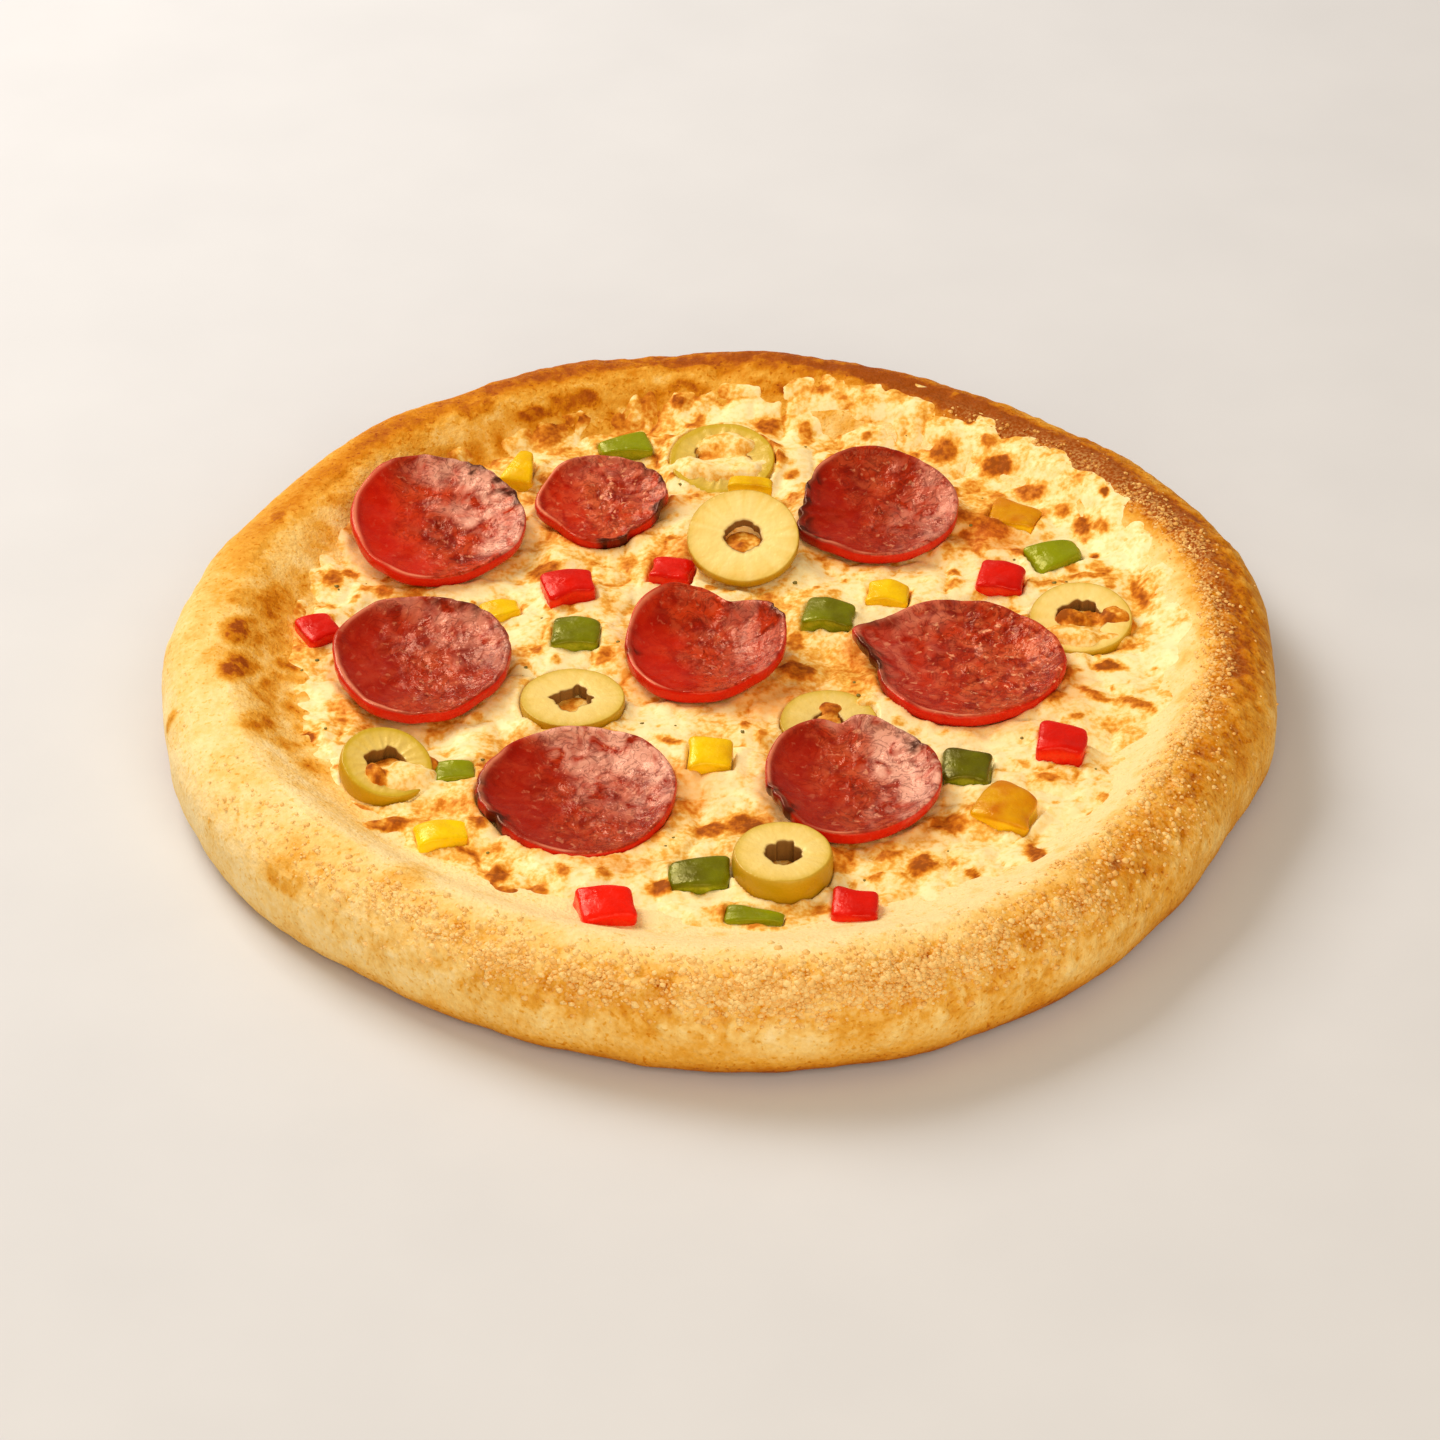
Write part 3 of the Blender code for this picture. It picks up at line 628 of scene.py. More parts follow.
draw = np.random.default_rng(7)
grain_chance = (meal_band ** 1.6 * crust_radius).ravel()
chosen = draw.choice(grain_chance.size, GRAINS, p=grain_chance / grain_chance.sum())
grain_size = GRAIN_LOW + (GRAIN_HIGH - GRAIN_LOW) * draw.uniform(0, 1, GRAINS) ** 2
in_front = np.broadcast_to(bump(turn, -84, 50), bake_and_shade.shape).ravel()[chosen]
grain_size = grain_size * (1.16 + 0.56 * in_front)
crust_normals = normals_of(crust_rings).reshape(-1, 3)
grain_place = crust_rings.reshape(-1, 3)[chosen] + draw.uniform(-0.4, 0.4, (GRAINS, 3))
grain_place = grain_place - crust_normals[chosen] * (grain_size * GRAIN_SUNK)[:, None]

meal_finish, tree, shader = new_material("rim_meal", 0.65)
MEAL_COLOURS = ((0.0, (250, 216, 144)), (1.0, (206, 136, 46)), (0.60, (236, 182, 94)))
tree.links.new(ramp(tree, kept(tree, "tone"), MEAL_COLOURS), shader.inputs["Base Color"])
relief(tree, shader, mottle(tree, 0.4, 0.2, 0.8), 0.06)
grain_tone = np.clip(draw.uniform(-0.2, 0.42, GRAINS) + 0.6 * bake_and_shade.ravel()[chosen], 0, 1)
rim_meal = scatter_lumps("rim_meal", grain_place, grain_size, 0.65, 8, meal_finish, {"tone": grain_tone})
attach(rim_meal, "root")


# Pepperoni: cured pork sausage sliced 3 mm thick. In the oven each slice has cupped, some of
# its fat has run out as oil, and its thin edges have charred. The left of each slice is smooth
# and painted a deep glowing red, as light shining through it; a pale highlight is painted on its
# upper side, and on the lip of its left edge.
CHEESE_RIPPLES = ((5, 31.0, 0.5), (8, 17.0, 0.32))
SLICE_THICK = 3.2
SLICE_ROUND = 176           # points round a slice
SLICE_EDGE_STEPS = 11
SLICE_FACE_STEPS = 30


def cheese_height(x, y):
    """Height of the cheese's surface without its mounds and its fine relief."""
    radius = np.hypot(x, y)
    turn = np.arctan2(y, x)
    share = radius / cheese_radius(turn)
    uneven = sum(ripple(x, y, *terms) for terms in CHEESE_RIPPLES)
    fade = 1 - np.clip((share - 0.82) / 0.18, 0, 1) ** 2
    return bowl(radius, turn) + 0.3 + uneven * fade


class Slice(NamedTuple):
    """One slice of pepperoni."""

    x: float
    y: float
    across: float
    rise: float             # its middle's underside above the cheese
    cup: float              # how far its edge stands above its middle
    lean: float = 0.0
    lean_way: float = -90.0
    dish: float = 1.6       # how far its upper side is hollowed at the middle
    pale: float = 0.5       # share of pale marbling
    painted_highlight: tuple = (0.4, 20)     # a pale highlight painted on the upper side: share, direction
    notch: tuple = (0.0, 0, 10)     # a dent in the outline: depth, direction, half spread
    flaps: tuple = ()       # parts of the edge that curl up: height, direction, half spread
    tip: float = 0.0        # how far a point stands out of the outline
    tip_way: float = 180.0
    tip_spread: float = 16.0
    wave: float = 0.03      # height of the outline's three waves, as a share of its radius
    wave_turn: float = 0.0
    char: tuple = ()        # charred parts of the edge: direction, half spread
    dark: float = 1.0       # how dark the meat is


SLICES = (
    Slice(-66.5, 48.4, 40.8, 1.9, 1.6, lean=12, lean_way=-72, dish=1.9, pale=0.25, painted_highlight=(1.2, 28),
          wave_turn=20, char=((72, 24), (30, 18)), dark=0.0),
    Slice(-27.4, 60.0, 28.4, 0.9, 1.3, lean=13, dish=1.2, pale=0.8, painted_highlight=(0.3, 50), tip=3.4,
          tip_way=188, tip_spread=22, wave=0.07, wave_turn=50, char=((35, 22), (-5, 22), (-80, 20)),
          dark=0.2),
    Slice(36.6, 56.0, 36.4, 1.7, 1.8, lean=12, lean_way=-80, pale=0.35, painted_highlight=(0.5, -10), tip=3.6,
          tip_way=208, char=((205, 24), (170, 20))),
    Slice(-4.0, 0.6, 36.4, -0.8, 1.8, lean=3, dish=1.9, pale=0.3, painted_highlight=(0.3, 10),
          notch=(2.6, 68, 15), flaps=((4.6, 124, 42), (5.2, 20, 34), (1.5, -40, 30)),
          char=((24, 14), (180, 12)), dark=0.1),
    Slice(55.0, -3.4, 43.0, -0.8, 2.8, lean=3, pale=0.85, painted_highlight=(0.35, 165), tip=6.0, tip_way=161,
          tip_spread=13, flaps=((1.6, 161, 24),), char=((163, 18), (190, 16)), dark=0.4),
    Slice(-67.1, -5.0, 40.2, 0.2, 2.0, lean=7, pale=0.36, painted_highlight=(0.45, 45), wave_turn=75,
          char=((20, 16), (60, 18))),
    Slice(-30.9, -51.8, 42.0, 0.0, 2.2, lean=5, lean_way=-70, pale=0.4, painted_highlight=(1.25, 56), tip=1.6,
          tip_way=186, tip_spread=20, wave_turn=110, char=((188, 18), (215, 14))),
    Slice(27.8, -49.4, 38.8, 0.9, 1.9, lean=5, pale=0.4, painted_highlight=(1.5, 22), notch=(1.6, 97, 8),
          flaps=((2.4, 214, 28), (-1.0, 97, 9), (1.3, 76, 14)), wave=0.04, wave_turn=15,
          char=((212, 16), (30, 20))),
)


def settle(points, x, y, z, lean, lean_way):
    """Tip points about their origin so that they lean down towards lean_way, then move them."""
    along, across = turned(points[..., 0], points[..., 1], lean_way)
    along, up = turned(along, points[..., 2], lean)
    x_new, y_new = turned(along, across, -lean_way)
    return np.stack([x + x_new, y + y_new, z + up], axis=-1)


def slice_radius(item, turn):
    """Outline of a slice: a circle with three soft waves and, on some, a point."""
    radius = item.across / 2 * (1 + item.wave * np.cos(3 * turn - math.radians(item.wave_turn)))
    return radius + item.tip * bump(turn, item.tip_way, item.tip_spread)


def slice_height(item, share, turn):
    """Height of a slice's underside above its middle: the fourth power of the share of the
    radius for the cup, and the third power for each part that curls up."""
    height = item.cup * share ** 4
    for flap, way, spread in item.flaps:
        height = height + flap * share ** 3 * bump(turn, way, spread)
    return height


def slice_bed(item, x, y):
    """Distance outside a slice's outline, and the height of its underside there."""
    turn = np.arctan2(y - item.y, x - item.x)
    out = np.hypot(x - item.x, y - item.y)
    radius = slice_radius(item, turn)
    along, _ = turned(x - item.x, y - item.y, item.lean_way)
    under = float(cheese_height(item.x, item.y)) + item.rise - along * math.tan(math.radians(item.lean))
    return out - radius, under + slice_height(item, np.clip(out / radius, 0, 1), turn)


def slice_mesh(item, seed):
    """Rings of a slice from its underside, round its edge, to its upper side, and the numbers
    kept on them. A ring lies at a share of the outline, on a side from -1, under, to 1, upper;
    the edge is a squared half circle."""
    turn = np.arange(SLICE_ROUND) * math.tau / SLICE_ROUND
    edge_angle = np.radians(np.linspace(-80, 80, SLICE_EDGE_STEPS))
    edge_share = 0.945 + 0.055 * np.cos(edge_angle) ** 0.7
    edge_side = np.sign(edge_angle) * np.abs(np.sin(edge_angle)) ** 0.8
    under = np.array([0.25, 0.5, 0.7, 0.85])
    over = np.linspace(0.93, 0.03, SLICE_FACE_STEPS)
    share = np.concatenate([under, edge_share, over])[:, None]
    side = np.concatenate([0 * under - 1, edge_side, 0 * over + 1])[:, None]
    place = np.array([item.x, item.y, 40.0 * seed])

    flat = rings_at(share * item.across / 2, 0.0, turn) + place
    rim = rings_at(np.full((1, 1), item.across / 2), 0.0, turn) + place
    char = sum(bump(turn, way, spread) for way, spread in item.char)
    char = np.clip(char * (0.75 + 0.9 * cloud(rim, 3.2, 41)), 0, 1)
    nibble = 0.40 * cloud(rim, 6.0, 42) + char * cloud(rim, 1.7, 43)
    dent, dent_way, dent_spread = item.notch
    radius = slice_radius(item, turn) + nibble - 0.3 * char - dent * bump(turn, dent_way, dent_spread)
    height = slice_height(item, share, turn) + 0.3 * share ** 6 * cloud(rim, 5.0, 44)
    height = height + SLICE_THICK / 2 * (1 + side) - item.dish * (1 - share ** 2.4) * (side > 0.99)
    rings = rings_at(share * radius, height, turn)
    uneven = 0.34 * cloud(flat, 6.0, 45) + 0.12 * cloud(flat, 2.2, 46) + 0.04 * cloud(flat, 1.0, 47)
    uneven = uneven + 0.38 * np.exp(-((share - 0.935) / 0.035) ** 2) * (side > 0.5)
    rings = rings + uneven[..., None] * normals_of(rings) * smooth(side, -1.0, 0.2)[..., None]

    base = float(cheese_height(item.x, item.y)) + item.rise
    rings = settle(rings, item.x, item.y, base, item.lean, item.lean_way)
    ends = np.array([[0, 0, 0.0], [0, 0, SLICE_THICK]])
    ends = settle(ends, item.x, item.y, base, item.lean, item.lean_way)
    points, blocks = closed_skin(rings, *ends)
    dots = smooth(cloud(flat, 1.5, 48), 0.05, 0.45)
    spots = 1.2 * dots * smooth(share, 0.72, 0.92)
    charred = np.clip(char * (smooth(share, 0.88, 0.98) + spots), 0, 1)
    casing = smooth(share, 0.955, 0.985) * (side < 0.9) + 0 * charred
    left = -share * np.cos(turn - math.radians(12)) + 0.22 * cloud(flat, 5.0, 49)
    # The left part, painted a glowing red as light shining through the thin meat
    painted_glow = smooth(left, -0.05, 0.62) * (1 - 0.6 * item.pale)
    # The lip beside the left part, painted a pale highlight
    lip = np.exp(-((share - 0.955) / 0.016) ** 2) * (side > 0.2) * smooth(cloud(rim, 9.0, 50), -0.7, 0.3)
    lip = lip * smooth(left, 0.0, 0.5)
    # A pale highlight painted towards one side of the upper face
    highlight_share, highlight_way = item.painted_highlight
    right = share * np.cos(turn - math.radians(highlight_way)) + 0.34 * cloud(flat, 4.5, 56)
    painted_highlight = highlight_share * smooth(right, 0.0, 0.8) * (side > 0)
    numbers = {"char": charred, "casing": casing, "painted_glow": painted_glow, "lip": lip, "painted_highlight": painted_highlight}
    numbers["marbling"] = item.pale + 0 * charred
    numbers["dark"] = item.dark + 0 * charred
    return points, blocks, {key: with_ends(value) for key, value in numbers.items()}


# Meat in two reds, paler fat and flecks on it, the painted highlight, dark veins, the smooth left
# side painted a glowing red, and the edge's casing, the lip's painted highlight and char, each laid over
# the one before
pepperoni_finish, tree, shader = new_material("pepperoni", 0.36)
fat = mottle(tree, 5.0, 0.44, 0.66, 5.0, 1.2)
flecks = mottle(tree, 1.7, 0.62, 0.72, 2.0, 0.6)
dark_meat = mottle(tree, 6.0, 0.38, 0.64, 3.0, 1.0)
vein_outside = mottle(tree, 3.6, 0.46, 0.50, 3.0, 1.4)
vein_inside = mottle(tree, 3.6, 0.50, 0.54, 3.0, 1.4)
veins = combine(tree, "SUBTRACT", vein_outside, vein_inside)
marbling = combine(tree, "ADD", kept(tree, "marbling"), 0.15)
meat = mix(tree, dark_meat, tint(196, 54, 14), tint(132, 16, 2))
meat = mix(tree, combine(tree, "MULTIPLY", kept(tree, "dark"), 0.4), meat, tint(132, 22, 6))
meat = mix(tree, combine(tree, "MULTIPLY", fat, marbling), meat, tint(206, 92, 54))
meat = mix(tree, combine(tree, "MULTIPLY", flecks, marbling), meat, tint(236, 158, 118))
# The pale highlight, painted in patches
highlight_patches = mottle(tree, 5.0, 0.36, 0.60, 4.0, 0.8)
painted_highlight = combine(tree, "MULTIPLY", kept(tree, "painted_highlight"), highlight_patches)
painted_highlight = combine(tree, "MULTIPLY", painted_highlight, 0.86)
meat = mix(tree, painted_highlight, meat, tint(243, 182, 162))
meat = mix(tree, combine(tree, "MULTIPLY", veins, 0.6), meat, tint(92, 10, 4))
# The left part painted a glowing red, as light shining through the thin meat
glow_meat = mix(tree, kept(tree, "dark"), tint(198, 14, 0), tint(160, 12, 1))
meat = mix(tree, combine(tree, "MULTIPLY", kept(tree, "painted_glow"), 0.92), meat, glow_meat)
meat = mix(tree, combine(tree, "MULTIPLY", kept(tree, "casing"), 0.85), meat, tint(212, 26, 6))
# The lip painted a pale highlight
meat = mix(tree, combine(tree, "MULTIPLY", kept(tree, "lip"), 0.75), meat, tint(246, 160, 124))
meat = mix(tree, combine(tree, "MULTIPLY", kept(tree, "char"), 0.95), meat, tint(54, 14, 5))
tree.links.new(meat, shader.inputs["Base Color"])
shader.inputs["Specular IOR Level"].default_value = 0.42
shader.inputs["Specular Tint"].default_value = (1.0, 0.46, 0.26, 1.0)
wet = mottle(tree, 3.2, 0.35, 0.65, 3.0)
wet_roughness = put(tree, "ShaderNodeMapRange", {"Value": wet, "To Min": 0.18, "To Max": 0.40})
tree.links.new(wet_roughness.outputs["Result"], shader.inputs["Roughness"])
humps = mottle(tree, 4.0, 0.25, 0.75, 3.0)
smooth_part = combine(tree, "SUBTRACT", 1.0, kept(tree, "painted_glow"))
coarse = relief(tree, shader, combine(tree, "MULTIPLY", humps, smooth_part), 0.60)
relief(tree, shader, mottle(tree, 0.9, 0.2, 0.8, 2.0), 0.035, coarse)

beds = [(slice_bed, item) for item in SLICES]
for number, item in enumerate(SLICES, start=1):
    points, blocks, numbers = slice_mesh(item, number)
    piece = put_mesh(f"pepperoni_slice_{number}", points, blocks, pepperoni_finish, numbers)
    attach(piece, "root")
    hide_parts(f"pepperoni_{number}")


# Olives: pitted green olives cut across into rings 3 to 7 mm thick. The cut flesh is cream
# with faint rays, the skin darker and greener, and the oven has browned the hole's wall.
class Ring(NamedTuple):
    """One ring of olive."""

    x: float
    y: float
    across: float
    hole: float
    thick: float
    top: float              # middle of its upper face above the cheese
    lean: float = 0.0
    lean_way: float = -90.0
    hole_sides: int = 4     # the hole's lobes, and their height as a share of its radius
    hole_wave: float = 0.06
    oval: float = 0.0       # how much longer than wide it is
    oval_way: float = 0.0
    fill: float = 0.1       # how far the cheese fills the hole, as a share of the thickness
    green: float = 0.0      # how green the flesh is
    ribs: float = 0.0       # depth of the folds across its upper face


RINGS = (
    Ring(5.0, 39.8, 26.0, 8.4, 2.8, 6.6, lean=21, lean_way=-92, hole_wave=0.03, fill=0.35),
    Ring(-33.2, -16.7, 23.4, 8.6, 3.4, 1.9, lean=2, lean_way=90, hole_wave=0.12, green=0.35),
    Ring(13.0, -77.0, 21.4, 7.6, 7.0, 5.4, lean=1, fill=0.3, green=0.3),
    Ring(23.6, -23.6, 21.6, 6.6, 3.6, 0.9, lean=1, fill=0.8, green=0.45),
    Ring(0.2, 81.0, 25.4, 13.0, 4.4, 2.3, lean=9, hole_sides=7, hole_wave=0.08, fill=0.7,
         green=0.9, ribs=0.5),
    Ring(-72.8, -43.7, 20.6, 9.0, 5.2, 3.4, lean=15, lean_way=-50, hole_wave=0.1,
         oval=0.04, oval_way=130, fill=0.6, green=0.75, ribs=0.25),
    Ring(81.5, 14.0, 23.4, 11.0, 4.0, 2.2, lean=9, lean_way=-100, hole_wave=0.08, fill=0.6,
         green=0.15),
)
RING_ROUND = 144            # points round a ring
RING_SKIN_STEPS = 15
RING_FACE_STEPS = 16
RING_WALL_STEPS = 9


def ring_bed(item, x, y):
    """Distance outside a ring's flesh, out or into its hole, and the height of its underside."""
    out = np.hypot(x - item.x, y - item.y)
    under = float(cheese_height(item.x, item.y)) + item.top - item.thick
    return np.maximum(out - item.across / 2, item.hole / 2 - out), under + 0 * out


def ring_mesh(item, seed):
    """A closed band round the hole: down the hole's wall, out along the underside, up the
    rounded skin and back in over the upper face, which sinks a little to the hole."""
    turn = np.arange(RING_ROUND) * math.tau / RING_ROUND
    place = np.array([item.x, item.y, 40.0 * seed])
    oval = 1 + item.oval / 2 * np.cos(2 * (turn - math.radians(item.oval_way)))
    rim = rings_at(np.full((1, 1), item.across / 2), 0.0, turn) + place
    outside = item.across / 2 * oval + 0.25 * cloud(rim, 7.0, 51)
    hole = item.hole / 2 * (1 + item.hole_wave * np.cos(item.hole_sides * turn + 0.8))
    hole = hole * (1 + (0.06 + 1.2 * item.hole_wave) * cloud(rim, 2.6, 52))

    skin_angle = np.radians(np.linspace(-90, 90, RING_SKIN_STEPS))
    low_in = min(0.40 * item.thick, 0.06 * (item.across - item.hole))
    rounding = np.where(skin_angle > 0, 0.10 * item.thick, low_in)
    skin_in = rounding * (1 - np.cos(skin_angle) ** 0.8)
    skin_depth = 0.5 * (1 - np.sign(skin_angle) * np.abs(np.sin(skin_angle)) ** 0.8)
    face = np.linspace(0.03, 0.97, RING_FACE_STEPS)
    wall = np.linspace(0.02, 0.98, RING_WALL_STEPS)
    under = np.array([0.1, 0.5, 0.85])
    share = np.concatenate([0 * wall, under, 0 * skin_in + 1, 1 - face])
    inset = np.concatenate([0 * wall, 0 * under, skin_in, 0 * face])
    depth = np.concatenate([wall, 0 * under + 1, skin_depth, 0 * face])
    edge_in = item.thick * 0.10 * np.concatenate([0 * wall, 0 * under, 0 * skin_in, 1 - face])
    share, inset, depth, edge_in = (value[:, None] for value in (share, inset, depth, edge_in))
    radius = hole + (outside - hole) * share - inset - edge_in
    height = -depth * item.thick - 0.35 * (1 - share) ** 3 * (1 - depth)
    folds = np.abs(np.cos(9 * turn + 1.2 * cloud(rim, 4.0, 57)))
    height = height - item.ribs * folds * smooth(share, 1.0, 0.35) * (1 - depth)
    rings = rings_at(radius, height, turn)
    flat = rings + place
    uneven = 0.10 * cloud(flat, 3.0, 53) + 0.05 * cloud(flat, 1.4, 54)
    rings[..., 2] += uneven * (depth < 0.5)
    base = float(cheese_height(item.x, item.y)) + item.top
    rings = settle(rings, item.x, item.y, base, item.lean, item.lean_way)

    count = len(rings)
    here = np.arange(RING_ROUND)
    after = (here + 1) % RING_ROUND
    low = np.arange(count)[:, None] * RING_ROUND
    high = (np.arange(count)[:, None] + 1) % count * RING_ROUND
    quads = np.stack([low + here, low + after, high + after, high + here], -1).reshape(-1, 4)
    skin_here = 0.45 + 0.55 * np.cos(skin_angle) ** 0.5
    skin = np.concatenate([0 * wall, 0 * under, skin_here, 0 * face])[:, None]
    skin = np.maximum(skin, smooth(share, 0.96, 1.0) * 0.6)
    pit_edge = 0.7 * smooth(face, 0.93, 1.0)
    pit = np.concatenate([0 * wall + 1, 0 * under, 0 * skin_in, pit_edge])[:, None]
    rays = cloud(np.stack([12 * np.cos(turn), 12 * np.sin(turn), 0 * turn + 9.0 * seed], -1), 1.1, 55)
    numbers = {"skin": skin + 0 * turn, "pit": pit + 0 * turn, "rays": (0.5 + 0.5 * rays) * (share + 0.2)}
    numbers["green"] = item.green * (0.75 + 0.5 * share) + 0.45 * smooth(share, 0.70, 1.0) + 0 * turn
    return rings.reshape(-1, 3), [quads], {key: value.ravel() for key, value in numbers.items()}


olive_finish, tree, shader = new_material("olive", 0.34)
flesh = mix(tree, kept(tree, "rays"), tint(255, 232, 156), tint(244, 208, 112))
blotch = mottle(tree, 6.0, 0.40, 0.70, 3.0)
flesh = mix(tree, combine(tree, "MULTIPLY", blotch, 0.3), flesh, tint(240, 204, 100))
flesh = mix(tree, combine(tree, "MULTIPLY", kept(tree, "green"), 0.8), flesh, tint(204, 172, 44))
flesh = mix(tree, kept(tree, "skin"), flesh, tint(190, 148, 8))
flesh = mix(tree, combine(tree, "MULTIPLY", kept(tree, "pit"), 0.9), flesh, tint(126, 74, 20))
tree.links.new(flesh, shader.inputs["Base Color"])
relief(tree, shader, mottle(tree, 1.2, 0.2, 0.8, 3.0), 0.12)
shader.inputs["Specular Tint"].default_value = (1.0, 0.84, 0.48, 1.0)

beds += [(ring_bed, item) for item in RINGS]
for number, item in enumerate(RINGS, start=1):
    points, blocks, numbers = ring_mesh(item, number)
    piece = put_mesh(f"olive_slice_{number}", points, blocks, olive_finish, numbers)
    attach(piece, "root")
    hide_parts(f"olive_ring_{number}")


# Peppers: red, green and yellow sweet peppers chopped by hand. Each die has its glossy skin
# on top and cut flesh on its sides, and has softened and slumped in the oven.
class Die(NamedTuple):
    """One chopped piece of sweet pepper."""

    x: float
    y: float
    wide: float
    deep: float
    tall: float
    top: float              # its upper face above the cheese
    turn: float = 0.0
    lean: float = 0.0
    lean_way: float = -90.0
    taper: float = 0.1      # how much narrower its right end is than its middle
    arch: float = 0.6       # how far its ends hang down
    bright: float = 0.5     # its colour, from the deep one to the bright one


RED_DICE = (
    Die(-91.4, 10.6, 9.0, 8.6, 5.0, 2.8, turn=32, lean=6, lean_way=-10),
    Die(-34.7, 26.2, 11.4, 8.4, 5.0, 3.0, turn=14, lean=5, taper=0.16),
    Die(-11.6, 35.0, 10.6, 7.6, 4.6, 1.9, turn=-12, taper=0.0),
    Die(64.6, 30.2, 10.0, 8.4, 5.2, 3.2, turn=-14, lean=6),
    Die(74.6, -34.2, 9.8, 9.4, 5.6, 3.6, turn=-8, lean=5, lean_way=-60),
    Die(-24.4, -92.6, 11.6, 10.2, 6.4, 4.6, turn=8, lean=8, lean_way=-75, bright=1.0),
    Die(28.1, -90.4, 9.4, 8.4, 5.4, 3.4, turn=-6, lean=6),
)
GREEN_DICE = (
    Die(-23.0, 87.0, 12.0, 6.6, 4.4, 2.6, turn=16, lean=4, taper=-0.3, bright=1.0),
    Die(-33.1, 8.6, 10.6, 9.0, 4.8, 2.8, turn=-4, lean=4),
    Die(24.0, 15.4, 11.0, 8.2, 4.6, 2.7, turn=-12, lean=4, arch=1.0),
    Die(77.2, 40.6, 12.0, 7.8, 4.6, 3.2, turn=24, lean=8, taper=0.3, arch=1.2, bright=1.0),
    Die(-58.2, -43.0, 8.2, 6.8, 4.0, 2.0, turn=4, bright=0.9),
    Die(53.6, -42.2, 10.4, 10.0, 5.4, 3.2, turn=-6, lean=6, arch=0.9, bright=0.1),
    Die(-4.8, -79.6, 12.0, 8.6, 5.0, 3.2, turn=4, lean=6, taper=-0.1, arch=1.0, bright=0.4),
    Die(6.8, -92.8, 12.4, 4.4, 4.0, 1.4, turn=-8, taper=0.3, bright=0.8),
)
YELLOW_DICE = (
    Die(-47.7, 74.6, 10.4, 5.6, 5.0, 3.6, turn=78, lean=10, taper=0.45, bright=0.7),
    Die(7.0, 66.8, 10.8, 4.0, 6.4, 5.6, turn=-4, taper=0.1, arch=0.9, bright=0.6),
    Die(68.8, 58.0, 11.0, 9.0, 4.4, 1.7, turn=-22, lean=3, taper=0.2, bright=0.1),
    Die(38.3, 24.4, 9.6, 7.4, 4.8, 2.9, turn=-8, lean=5, bright=0.7),
    Die(-50.3, 20.6, 9.0, 6.0, 4.2, 2.2, turn=20, taper=0.2, bright=0.7),
    Die(-2.5, -37.8, 10.2, 8.8, 5.8, 3.7, turn=-4, lean=8, lean_way=-80, bright=0.7),
    Die(-60.3, -65.6, 10.6, 7.2, 4.4, 2.3, turn=12, taper=0.15, arch=1.2, bright=0.9),
    # The eighth is darker amber: painted shade
    Die(62.0, -57.0, 12.6, 11.0, 5.2, 3.2, turn=-28, lean=6, taper=0.15, arch=1.2, bright=0.0),
)
DIE_STEPS = 18              # squares along each edge of a die
DIE_EDGE = 0.27             # its edges are rounded over this share of its half size


def die_bed(item, x, y):
    """Distance outside a die's plain outline, and the height of its underside."""
    along, across = turned(x - item.x, y - item.y, item.turn)
    away = np.maximum(np.abs(along) - item.wide / 2, np.abs(across) - item.deep / 2)
    under = float(cheese_height(item.x, item.y)) + item.top - item.tall
    return away, under + 0 * away


def block_shape():
    """Points of a block from -1 to 1 each way and its squares, joined along its edges."""
    line = np.linspace(-1, 1, DIE_STEPS + 1)
    first, second = (grid.ravel() for grid in np.meshgrid(line, line, indexing="ij"))
    one = np.ones(first.size)
    sides = []
    for axis in range(3):
        for sign in (-1, 1):
            columns = [None, None, None]
            columns[axis] = one * sign
            columns[(axis + 1) % 3] = first if sign > 0 else second
            columns[(axis + 2) % 3] = second if sign > 0 else first
            sides.append(np.stack(columns, axis=-1))
    points = np.round(np.concatenate(sides), 6)
    merged, place = np.unique(points, axis=0, return_inverse=True)
    row = DIE_STEPS + 1
    corner = (np.arange(DIE_STEPS)[:, None] * row + np.arange(DIE_STEPS)).ravel()
    square = np.stack([corner, corner + row, corner + row + 1, corner + 1], axis=-1)
    quads = np.concatenate([square + side * row * row for side in range(6)])
    return merged, place.ravel()[quads]


def die_mesh(item, seed):
    """A block with rounded edges: each point is its nearest point of a smaller block, moved
    out along the line between them. It is bent and tapered, and its cut sides are dented."""
    block, quads = block_shape()
    core = np.clip(block, DIE_EDGE - 1, 1 - DIE_EDGE)
    out = block - core
    out = out / np.maximum(np.linalg.norm(out, axis=1, keepdims=True), 1e-9)
    u, v, w = (core + DIE_EDGE * out).T
    place = np.array([0.0, 0.0, 30.0 * seed])
    rough = np.stack([u * item.wide / 2, v * item.deep / 2, w * item.tall / 2], axis=-1) + place
    swing = 0.08 * cloud(rough, 5.0, 61)
    x = u * item.wide / 2 * (1 + swing) + 0.09 * item.wide * cloud(rough, 7.0, 65)
    y = v * item.deep / 2 * (1 - item.taper * u) * (1 + 0.10 * cloud(rough, 4.0, 62))
    y = y + 0.09 * item.deep * cloud(rough, 7.0, 66)
    z = w * item.tall / 2 - item.tall / 2 - item.arch * u * u + 0.24 * cloud(rough, 3.4, 63)
    local = np.stack([*turned(x, y, -item.turn), z], axis=-1)
    side = smooth(np.maximum(np.abs(u), np.abs(v)), 0.86, 0.98) * (w < 0.93)
    local[:, :2] *= 1 + 0.02 * (side * cloud(rough, 1.5, 64))[:, None]
    base = float(cheese_height(item.x, item.y)) + item.top
    cut = smooth(-w, -0.80, -0.45)
    numbers = {"cut": cut, "bright": item.bright + 0 * cut}
    return settle(local, item.x, item.y, base, item.lean, item.lean_way), [quads], numbers


